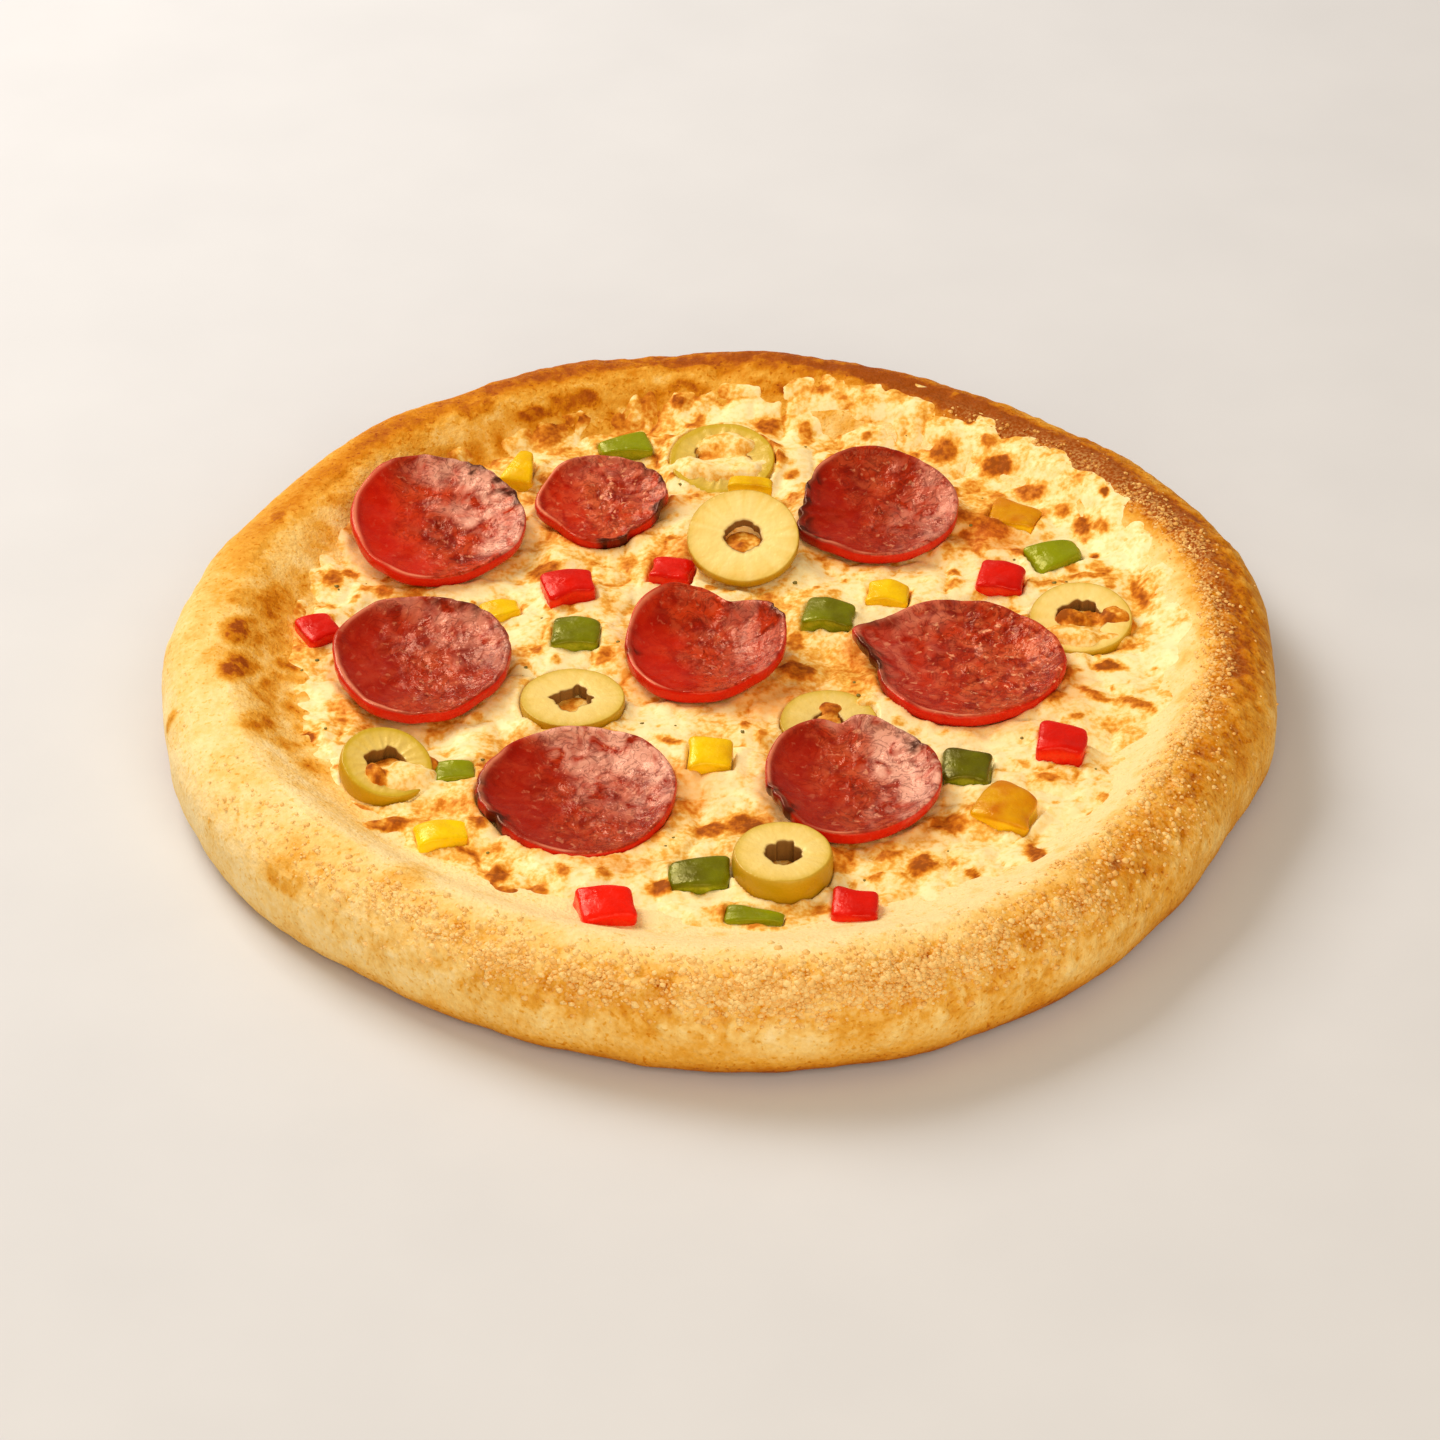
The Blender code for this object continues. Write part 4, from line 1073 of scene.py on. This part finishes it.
def pepper_finish(name, skin, deep_skin, flesh, sheen):
    """Glossy skin in two shades, and paler wet flesh where the pepper is cut."""
    material, tree, shader = new_material(name, 0.24)
    shade = combine(tree, "MULTIPLY", mottle(tree, 6.0, 0.30, 0.70, 2.0), 0.4)
    shade = combine(tree, "ADD", combine(tree, "SUBTRACT", kept(tree, "bright"), 0.2), shade)
    colour = mix(tree, shade, tint(*deep_skin), tint(*skin))
    veins = mottle(tree, 1.8, 0.40, 0.70, 3.0, 1.0)
    wet_flesh = mix(tree, veins, tint(*flesh), tint(*skin))
    colour = mix(tree, combine(tree, "MULTIPLY", kept(tree, "cut"), 0.7), colour, wet_flesh)
    tree.links.new(colour, shader.inputs["Base Color"])
    wet = mottle(tree, 2.4, 0.35, 0.65, 2.0)
    wet_roughness = put(tree, "ShaderNodeMapRange", {"Value": wet, "To Min": 0.16, "To Max": 0.38})
    tree.links.new(wet_roughness.outputs["Result"], shader.inputs["Roughness"])
    relief(tree, shader, mottle(tree, 1.6, 0.2, 0.8, 3.0), 0.14)
    shader.inputs["Specular Tint"].default_value = (*sheen, 1.0)
    return material


PEPPERS = (
    ("red_pepper", RED_DICE, ((242, 26, 4), (176, 1, 1), (240, 66, 28)), (1.0, 0.32, 0.24)),
    ("green_pepper", GREEN_DICE, ((138, 148, 3), (70, 60, 1), (176, 176, 36)), (1.0, 0.88, 0.24)),
    ("yellow_pepper", YELLOW_DICE, ((255, 220, 6), (202, 114, 1), (255, 214, 44)), (1.0, 0.76, 0.26)),
)
for kind, (name, dice, colours, sheen) in enumerate(PEPPERS):
    finish = pepper_finish(name, *colours, sheen)
    beds += [(die_bed, item) for item in dice]
    for number, item in enumerate(dice, start=1):
        points, blocks, numbers = die_mesh(item, number + 10 * kind)
        piece = put_mesh(f"{name}_die_{number}", points, blocks, finish, numbers)
        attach(piece, "root")
        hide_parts(f"{name}_{number}")


# Cheese: grated mozzarella melted into one layer. It is worked out last, because it has run
# up against everything that lies in it and up the crust's slope, where it ends in a thin
# uneven edge. The oven has raised and browned blisters in it, and oil has stained it. Shade
# beside the toppings, in its creases and in the olive rings' holes is painted into its colour.
CHEESE_GRID = 310           # squares across the cheese
CHEESE_UNDER = 12.3         # height of its flat underside
CHEESE_UNDER_SHARE = 0.86   # the underside's width beside the edge's
CHEESE_EDGE_THICK = 2.5
CLIMB = ((7.5, 42, 42), (4.0, 100, 38), (3.5, 172, 36))     # bumps of its edge up the slope
BED_GAP = 0.35              # the cheese stays this far below the toppings
SPOT_REACH = 99             # the small toasted spots lie within this radius


class Mound(NamedTuple):
    """A hump in the cheese that props a topping up."""

    x: float
    y: float
    height: float
    spread: float


MOUNDS = (
    Mound(5.5, 48.0, 8.5, 8.5),
    Mound(-71.0, 62.0, 2.2, 12.0),
    Mound(2.0, 88.0, 1.8, 9.0),
    Mound(84.0, 23.0, 1.8, 8.0),
)
CHEESE_MARKS = (
    Mark(334, 581, 6, 4, 0, 0.62), Mark(382, 593, 5, 4, -20, 0.55), Mark(290, 606, 5, 5, 0, 0.45),
    Mark(299, 545, 5, 6, 0, 0.42), Mark(275, 695, 5, 6, 0, 0.45), Mark(293, 726, 4, 4, 0, 0.70),
    Mark(307, 738, 5, 4, -30, 0.88), Mark(291, 760, 4, 5, 0, 0.62), Mark(306, 777, 5, 11, 40, 0.55),
    # (327, 798), below olive ring F, is painted shadow with some toast
    Mark(327, 798, 6, 4, -30, 0.90), Mark(352, 806, 9, 4, -20, 0.62), Mark(441, 803, 4, 4, 0, 0.50),
    Mark(476, 828, 4, 4, 30, 0.62), Mark(390, 828, 5, 4, 0, 0.42), Mark(352, 826, 8, 3, -40, 0.45),
    Mark(453, 889, 5, 5, 0, 0.80), Mark(486, 889, 6, 6, 0, 0.72), Mark(497, 876, 4, 7, 0, 0.74),
    Mark(505, 897, 13, 6, -10, 0.72), Mark(534, 893, 5, 8, 0, 0.70), Mark(557, 916, 4, 3, 0, 0.55),
    Mark(547, 437, 8, 10.2, 0, 0.70), Mark(677, 404, 4, 7.2, 0, 0.80), Mark(700, 422, 4, 5.8, 0, 0.50),
    Mark(767, 429, 7, 7.2, -30, 0.66), Mark(806, 434, 4, 10.2, 0, 0.48), Mark(616, 417, 4, 4.3, 0, 0.48),
    Mark(545, 573, 7, 7, 0, 0.66), Mark(628, 562, 5, 7, 0, 0.50), Mark(537, 650, 4, 6, 20, 0.62),
    Mark(603, 656, 4, 6, -20, 0.56), Mark(631, 608, 4, 4, 0, 0.40), Mark(573, 614, 3, 3, 0, 0.38),
    # (797, 671) is painted shadow with some toast
    Mark(797, 640, 5, 7, 0, 0.58), Mark(797, 671, 9, 8, 20, 0.66), Mark(664, 506, 6, 6, 0, 0.48),
    Mark(795, 496, 5, 4, 20, 0.52), Mark(944, 454, 9, 10.2, 0, 0.66), Mark(998, 466, 7, 8.7, -10, 0.78),
    Mark(968, 422, 3, 4.3, 0, 0.90), Mark(990, 443, 4, 5.8, 0, 0.62), Mark(1030, 492, 7, 7.2, -10, 0.62),
    Mark(972, 487, 6, 7.2, 0, 0.46), Mark(997, 497, 5, 5.8, 0, 0.46), Mark(1060, 513, 5, 7.2, 0, 0.50),
    Mark(1084, 527, 5, 7.2, 0, 0.72), Mark(1102, 528, 3, 4.3, 0, 0.50), Mark(1103, 496, 2.4, 3.8, 0, 0.95),
    # (992, 533) is painted shadow
    Mark(1094, 557, 2.4, 2.6, 0, 0.88), Mark(1079, 477, 3, 4.3, 0, 0.55), Mark(992, 533, 9, 8, 0, 0.62),
    Mark(1022, 553, 6, 5, 0, 0.58), Mark(977, 548, 6, 6, 0, 0.46), Mark(1090, 580, 12, 3.6, -4, 0.58),
    Mark(1050, 585, 9, 3.6, 10, 0.48), Mark(1139, 596, 3.4, 12, 12, 0.62), Mark(1128, 649, 8, 4, 10, 0.52),
    Mark(1107, 665, 6, 3, -15, 0.85), Mark(1095, 697, 11, 2.8, -38, 0.60),
    Mark(1134, 705, 10, 2.8, -30, 0.60), Mark(1184, 705, 5, 3.2, 10, 0.92),
    Mark(1110, 724, 6, 5, 0, 0.38), Mark(1076, 719, 4, 3, 0, 0.62),
    Mark(1064, 676, 5, 7, 0, 0.50), Mark(1054, 702, 5, 5, 0, 0.62), Mark(921, 867, 6, 6, -30, 0.72),
    Mark(893, 856, 7, 2.6, 20, 0.55), Mark(951, 863, 4, 4, 0, 0.40), Mark(972, 875, 4, 3.4, -30, 0.62),
    Mark(988, 890, 4, 5, 0, 0.58), Mark(944, 908, 4, 4, 0, 0.62), Mark(1039, 859, 4, 11, 8, 0.80),
    Mark(877, 877, 3, 3, 0, 0.58), Mark(901, 921, 5, 2.6, 0, 0.42), Mark(1092, 814, 4, 3, 0, 0.55),
    # (1049, 779), below a red die, is painted shadow
    Mark(1109, 798, 4, 4, 0, 0.50), Mark(1049, 779, 7, 6, 0, 0.52), Mark(946, 826, 9, 7, 0, 0.58),
    Mark(975, 811, 5, 4, 0, 0.48), Mark(744, 728, 3, 3, 0, 0.55), Mark(762, 737, 3, 3, 0, 0.48),
    Mark(710, 829, 8, 6, 0, 0.66), Mark(744, 828, 9, 7, 15, 0.74), Mark(688, 806, 6, 5, 0, 0.40),
    Mark(662, 889, 5, 4, 0, 0.72), Mark(603, 879, 4, 4, 0, 0.50), Mark(731, 916, 8, 5, 0, 0.60),
    # (823, 912), beside a red die, is painted shadow
    Mark(670, 744, 6, 2.4, -30, 0.62), Mark(823, 912, 5, 4, 0, 0.50), Mark(606, 657, 4, 5, 0, 0.44),
    Mark(500, 850, 3, 3, 0, 0.38), Mark(755, 927, 3, 2.4, 0, 0.55), Mark(560, 876, 3, 6, 20, 0.50),
)
# Oil stains, darkened further with painted shade beside and in front of the slices
OIL_AND_SHADE_MARKS = (
    Mark(768, 700, 20, 15, 10, 0.95), Mark(660, 506, 12, 12, 0, 0.70), Mark(985, 540, 18, 12, 0, 0.80),
    Mark(1062, 690, 12, 14, 0, 0.70), Mark(905, 828, 16, 12, 0, 0.75), Mark(690, 790, 12, 16, 0, 0.70),
    Mark(528, 530, 9, 16, 0, 0.60), Mark(420, 590, 20, 6, 0, 0.60), Mark(610, 866, 18, 6, 0, 0.60),
    Mark(690, 560, 12, 12, 0, 0.50), Mark(1000, 730, 16, 8, 0, 0.55), Mark(900, 560, 20, 8, 0, 0.60),
)


class Cover(NamedTuple):
    """Cheese that lies over a part of an olive ring, placed by its pixel, its size in mm."""

    column: float
    row: float
    wide: float
    deep: float
    turn: float
    height: float
    dark: float


COVERS = (
    Cover(722, 470, 27, 9, 0, 2.2, 0.14),
    Cover(724, 450, 15, 9, 0, 2.5, 0.30),
    Cover(1078, 640, 24, 8, 0, 2.2, 0.30),
    Cover(1072, 626, 10, 5, 0, 3.4, 0.84),
    Cover(1116, 624, 8, 11, 60, 3.6, 0.70),
    Cover(404, 786, 15, 12, 20, 3.6, 0.16),
    Cover(376, 788, 5, 9, 30, 4.2, 0.60),
    Cover(428, 768, 7, 5, -40, 2.6, 0.66),
    Cover(386, 826, 12, 5, 20, 0.7, 0.60),
    Cover(832, 712, 6, 4, 0, 1.7, 0.74),
    Cover(866, 706, 6, 4, 20, 1.7, 0.26),
)

# Its grid is a square pressed into a disc: u is shortened by the root of 1 - v * v / 2, and
# v likewise, and both are then stretched to the edge
line = np.linspace(-1, 1, CHEESE_GRID + 1)
grid_u, grid_v = np.meshgrid(line, line, indexing="ij")
disc_x = grid_u * np.sqrt(1 - grid_v ** 2 / 2)
disc_y = grid_v * np.sqrt(1 - grid_u ** 2 / 2)
disc_turn = np.arctan2(disc_y, disc_x)
climb = bumps(disc_turn, 1.0, CLIMB)
cheese_edge = cheese_radius(disc_turn) + 3.5 + climb
x = disc_x * cheese_edge
y = disc_y * cheese_edge
radius = np.hypot(x, y)
flat = np.stack([x, y, 0 * x], axis=-1)

# Its relief: creases lie where a bent cloud passes through 0, with swells between them
bent = flat + 1.6 * np.stack([cloud(flat, 5.0, 86), cloud(flat, 5.0, 87), 0 * x], axis=-1)
crease = np.abs(cloud(bent, 9.0, 71))
fine_crease = np.abs(cloud(bent, 4.2, 72))
uneven = 1.15 * (crease ** 0.7 - 0.5) + 0.5 * (fine_crease ** 0.7 - 0.5) + 0.10 * cloud(flat, 2.0, 73)
valley = 1 - smooth(crease, 0.0, 0.16) + 0.5 * (1 - smooth(fine_crease, 0.0, 0.12))
top = cheese_height(x, y) + 1.25 * uneven + 0.6 * smooth(radius - cheese_radius(disc_turn), -5, 2)
for mound in MOUNDS:
    away = np.hypot(x - mound.x, y - mound.y) / mound.spread
    top = top + mound.height * np.exp(-away ** 2)

# Small toasted spots: how many, their half width in mm, how far out they begin, and the
# middle and half spread of the directions they lie in
SPOTS = ((340, 0.7, 1.9, 0.0, 0, 180), (110, 1.2, 2.6, 0.30, 52, 52), (40, 1.2, 2.4, 0.5, 150, 40))
draw = np.random.default_rng(12)
# Toasted spots, a few of them painted shadows beside the toppings
toast = marks_field(flat, CHEESE_MARKS, 75, 0.6) * 1.12
small = np.zeros(x.shape)
bent_x = x + 0.7 * cloud(flat, 1.8, 76)
bent_y = y + 0.7 * cloud(flat, 1.8, 85)
for count, low_size, high_size, low_out, middle, spread in SPOTS:
    for _ in range(count):
        way = math.radians(middle + spread * draw.uniform(-1, 1))
        out = SPOT_REACH * math.sqrt(draw.uniform(low_out, 1))
        dark = draw.uniform(0.30, 0.72) * (0.80 + 0.20 * math.sin(way))
        size = draw.uniform(low_size, high_size)
        away = np.hypot(bent_x - out * math.cos(way), bent_y - out * math.sin(way)) / size
        small = np.maximum(small, dark * (1 - smooth(away, 0.45, 1.3)))
toast = np.maximum(toast, small)
# Paler gold between the spots, deeper at the back, and painted shade in the creases
gold_and_crease_shade = 0.12 + 0.26 * cloud(flat, 12.0, 77) + 0.18 * cloud(flat, 5.0, 78)
gold_and_crease_shade = gold_and_crease_shade - 0.12 * bump(disc_turn, -6, 42) * smooth(radius, 55, 85)
gold_and_crease_shade = gold_and_crease_shade + 0.22 * bump(disc_turn, 62, 60) * smooth(radius, 40, 80) * (0.3 + cloud(flat, 4.0, 96))
gold_and_crease_shade = gold_and_crease_shade + 0.30 * valley * smooth(cloud(flat, 14.0, 88), -0.6, 0.3)
gold_and_crease_shade = gold_and_crease_shade + 0.16 * bump(disc_turn, 90, 60) * smooth(radius, 30, 95) * (0.4 + 0.6 * valley)
toast = np.clip(np.maximum(toast, gold_and_crease_shade) + 0.10 * cloud(flat, 2.0, 79), 0, 1)
oil_and_shade = marks_field(flat, OIL_AND_SHADE_MARKS, 81)

# The cheese stands in a lip round each topping, stays below it and part fills a ring's hole
LIP = 0.55
for bed, item in beds:
    away, under = bed(item, x, y)
    lip = LIP * np.exp(-((away - 0.7) / 1.6) ** 2) * (1 + 0.8 * cloud(flat, 2.8, 82))
    if bed is ring_bed:
        in_hole = smooth(item.hole / 2 - np.hypot(x - item.x, y - item.y), -0.7, 0.1)
        lip = lip * (1 - in_hole)
        hole_level = under + item.fill * item.thick + 0.3 * cloud(flat, 2.4, 91)
        top = top + in_hole * (hole_level - top)
        # Cheese in a ring's hole is toasted and painted with the hole's shade
        toast = np.maximum(toast, in_hole * (0.5 + 0.3 * cloud(flat, 2.4, 89)))
    top = top + lip
    inside = smooth(-away, -0.4, 0.6)
    top = top + inside * (np.minimum(top, under - BED_GAP) - top)
    # Round each slice: an oil stain with painted shade
    if bed is slice_bed:
        oil_and_shade = np.maximum(oil_and_shade, 0.62 * np.exp(-(np.maximum(away, 0) / 2.4) ** 2))
top = top + 0.35 * smooth(toast, 0.4, 0.8) * (1 - smooth(toast, 0.9, 1.0))

# Its edge thins out on the crust's slope along an uneven line, in threads at the back
limit = cheese_radius(disc_turn) + 0.3 + climb + 1.8 * cloud(flat, 9.0, 83) + 1.0 * cloud(flat, 3.6, 84)
melt = smooth(limit - radius, -1.0, 9.0)
near_edge = smooth(radius - limit, -12, -3)
sway = 1.5 * cloud(flat, 3.4, 97)
strands = cloud(np.stack([0.36 * radius + sway, 100 * disc_turn + 1.4 * sway, 0 * x], axis=-1), 2.4, 95)
edge_toast = 0.12 + 0.36 * bump(disc_turn, 118, 60) + 0.42 * strands + 0.16 * cloud(flat, 3.2, 90)
at_back = bump(disc_turn, 108, 58)
near_toast = np.maximum(edge_toast, toast - 0.2) - toast
toast = toast + near_edge * near_toast * (0.35 + 0.65 * at_back)
top = top - 0.55 * strands * near_edge * at_back
crust_level = bowl(radius, disc_turn)
top = crust_level - 0.9 + melt * (top + 0.9 - crust_level)

for item in COVERS:
    place = seen_at(item.column, item.row)
    along, across = turned(x - place[0], y - place[1], item.turn)
    away = np.hypot(along / (item.wide / 2), across / (item.deep / 2)) + 0.16 * cloud(flat, 2.6, 92)
    dome = cheese_height(x, y) + item.height * (1 - away ** 4) + 0.35 * cloud(flat, 1.9, 93)
    top = np.where(away < 1.5, np.maximum(top, dome), top)
    near = 1 - smooth(away, 0.7, 1.15)
    toast = toast + near * (np.clip(item.dark * (1 + 0.5 * cloud(flat, 1.7, 94)), 0, 1) - toast)

# A short skirt goes down from the edge, and a slope and a flat underside close it below
grid_size = CHEESE_GRID + 1
number_at = np.arange(grid_size * grid_size).reshape(grid_size, grid_size)
squares = np.stack([number_at[:-1, :-1], number_at[1:, :-1], number_at[1:, 1:], number_at[:-1, 1:]], -1)
border = np.concatenate([number_at[:-1, 0], number_at[-1, :-1], number_at[:0:-1, -1], number_at[0, :0:-1]])
top_points = np.stack([x, y, top], axis=-1).reshape(-1, 3)
skirt = top_points[border].copy()
skirt[:, 2] -= CHEESE_EDGE_THICK
lower = skirt.copy()
lower[:, :2] *= CHEESE_UNDER_SHARE
lower[:, 2] = CHEESE_UNDER
count = len(border)
first_skirt = len(top_points)
first_lower = first_skirt + count
here = np.arange(count)
after = (here + 1) % count
wall = np.stack([border[here], first_skirt + here, first_skirt + after, border[after]], -1)
slope = np.stack([first_skirt + here, first_lower + here, first_lower + after, first_skirt + after], -1)
middle = first_lower + count
fan = np.stack([first_lower + here, np.full(count, middle), first_lower + after], -1)
points = np.concatenate([top_points, skirt, lower, [[0.0, 0.0, CHEESE_UNDER]]])
extra = np.zeros(2 * count + 1)
numbers = {"toast": np.concatenate([toast.ravel(), extra]), "oil_and_shade": np.concatenate([oil_and_shade.ravel(), extra])}

# The toasting and the painted shade set its colour and how dry it is, and the oil stains and the painted
# shade beside the slices darken it
cheese_finish, tree, shader = new_material("melted_cheese", 0.42)
shader.inputs["Specular IOR Level"].default_value = 0.32
shader.inputs["Specular Tint"].default_value = (1.0, 0.80, 0.50, 1.0)
shade = combine(tree, "ADD", kept(tree, "toast"), combine(tree, "MULTIPLY", mottle(tree, 1.2), 0.26))
shade = combine(tree, "SUBTRACT", shade, 0.13)
CHEESE_COLOURS = (
    (0.0, (255, 238, 184)),
    (1.0, (108, 48, 2)),
    (0.18, (253, 222, 148)),
    (0.34, (242, 184, 78)),
    (0.54, (216, 130, 22)),
    (0.78, (174, 88, 4)),
)
colour = ramp(tree, shade, CHEESE_COLOURS)
stain_and_shade = combine(tree, "MULTIPLY", kept(tree, "oil_and_shade"), 0.75)
stained_and_shaded = put(tree, "ShaderNodeMix", {0: stain_and_shade, 6: colour, 7: tint(236, 168, 84)},
              data_type="RGBA", blend_type="MULTIPLY")
tree.links.new(stained_and_shaded.outputs[2], shader.inputs["Base Color"])
wet = combine(tree, "MULTIPLY", mottle(tree, 5.0, 0.35, 0.65, 3.0), 0.5)
dry = combine(tree, "ADD", wet, shade)
wet_roughness = put(tree, "ShaderNodeMapRange", {"Value": dry, "To Min": 0.30, "To Max": 0.85})
tree.links.new(wet_roughness.outputs["Result"], shader.inputs["Roughness"])
coarse = relief(tree, shader, mottle(tree, 2.4, 0.2, 0.8, 2.0), 0.12)
relief(tree, shader, mottle(tree, 0.8, 0.2, 0.8, 2.0), 0.03, coarse)

cheese_piece = put_mesh(
    "melted_cheese", points, [squares.reshape(-1, 4), wall, slope, fan], cheese_finish, numbers
)
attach(cheese_piece, "root")
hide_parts("cheese")


# Herbs: dried green leaf, crumbled and sprinkled over the cheese before baking. The flakes
# are up to 1.5 mm long and lie clear of the other toppings.
FLAKES = 80
FLAKE_REACH = 96            # they lie within this radius
GRID_REACH = 100            # about the radius at the edge of the cheese's grid
draw = np.random.default_rng(19)
flake_way = draw.uniform(0, math.tau, FLAKES)
flake_out = FLAKE_REACH * np.sqrt(draw.uniform(0, 1, FLAKES))
flake_x = flake_out * np.cos(flake_way) / GRID_REACH
flake_y = flake_out * np.sin(flake_way) / GRID_REACH
flake_column = np.argmin(np.abs(line[:, None] - flake_x), axis=0)
flake_row = np.argmin(np.abs(line[:, None] - flake_y), axis=0)
flake_place = np.stack([x, y, top], axis=-1)[flake_column, flake_row]
for bed, item in beds:
    away, _ = bed(item, flake_place[:, 0], flake_place[:, 1])
    flake_place = flake_place[away > 1.0]
flake_size = draw.uniform(0.22, 0.62, len(flake_place))
flake_finish, tree, shader = new_material("dried_herbs", 0.6)
flake_colour = mix(tree, kept(tree, "tone"), tint(136, 128, 34), tint(94, 80, 20))
tree.links.new(mix(tree, mottle(tree, 0.5), flake_colour, tint(124, 110, 30)), shader.inputs["Base Color"])
flake_tone = draw.uniform(0, 1, len(flake_place))
herbs = scatter_lumps("dried_herbs", flake_place, flake_size, 0.4, 20, flake_finish, {"tone": flake_tone})
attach(herbs, "root")
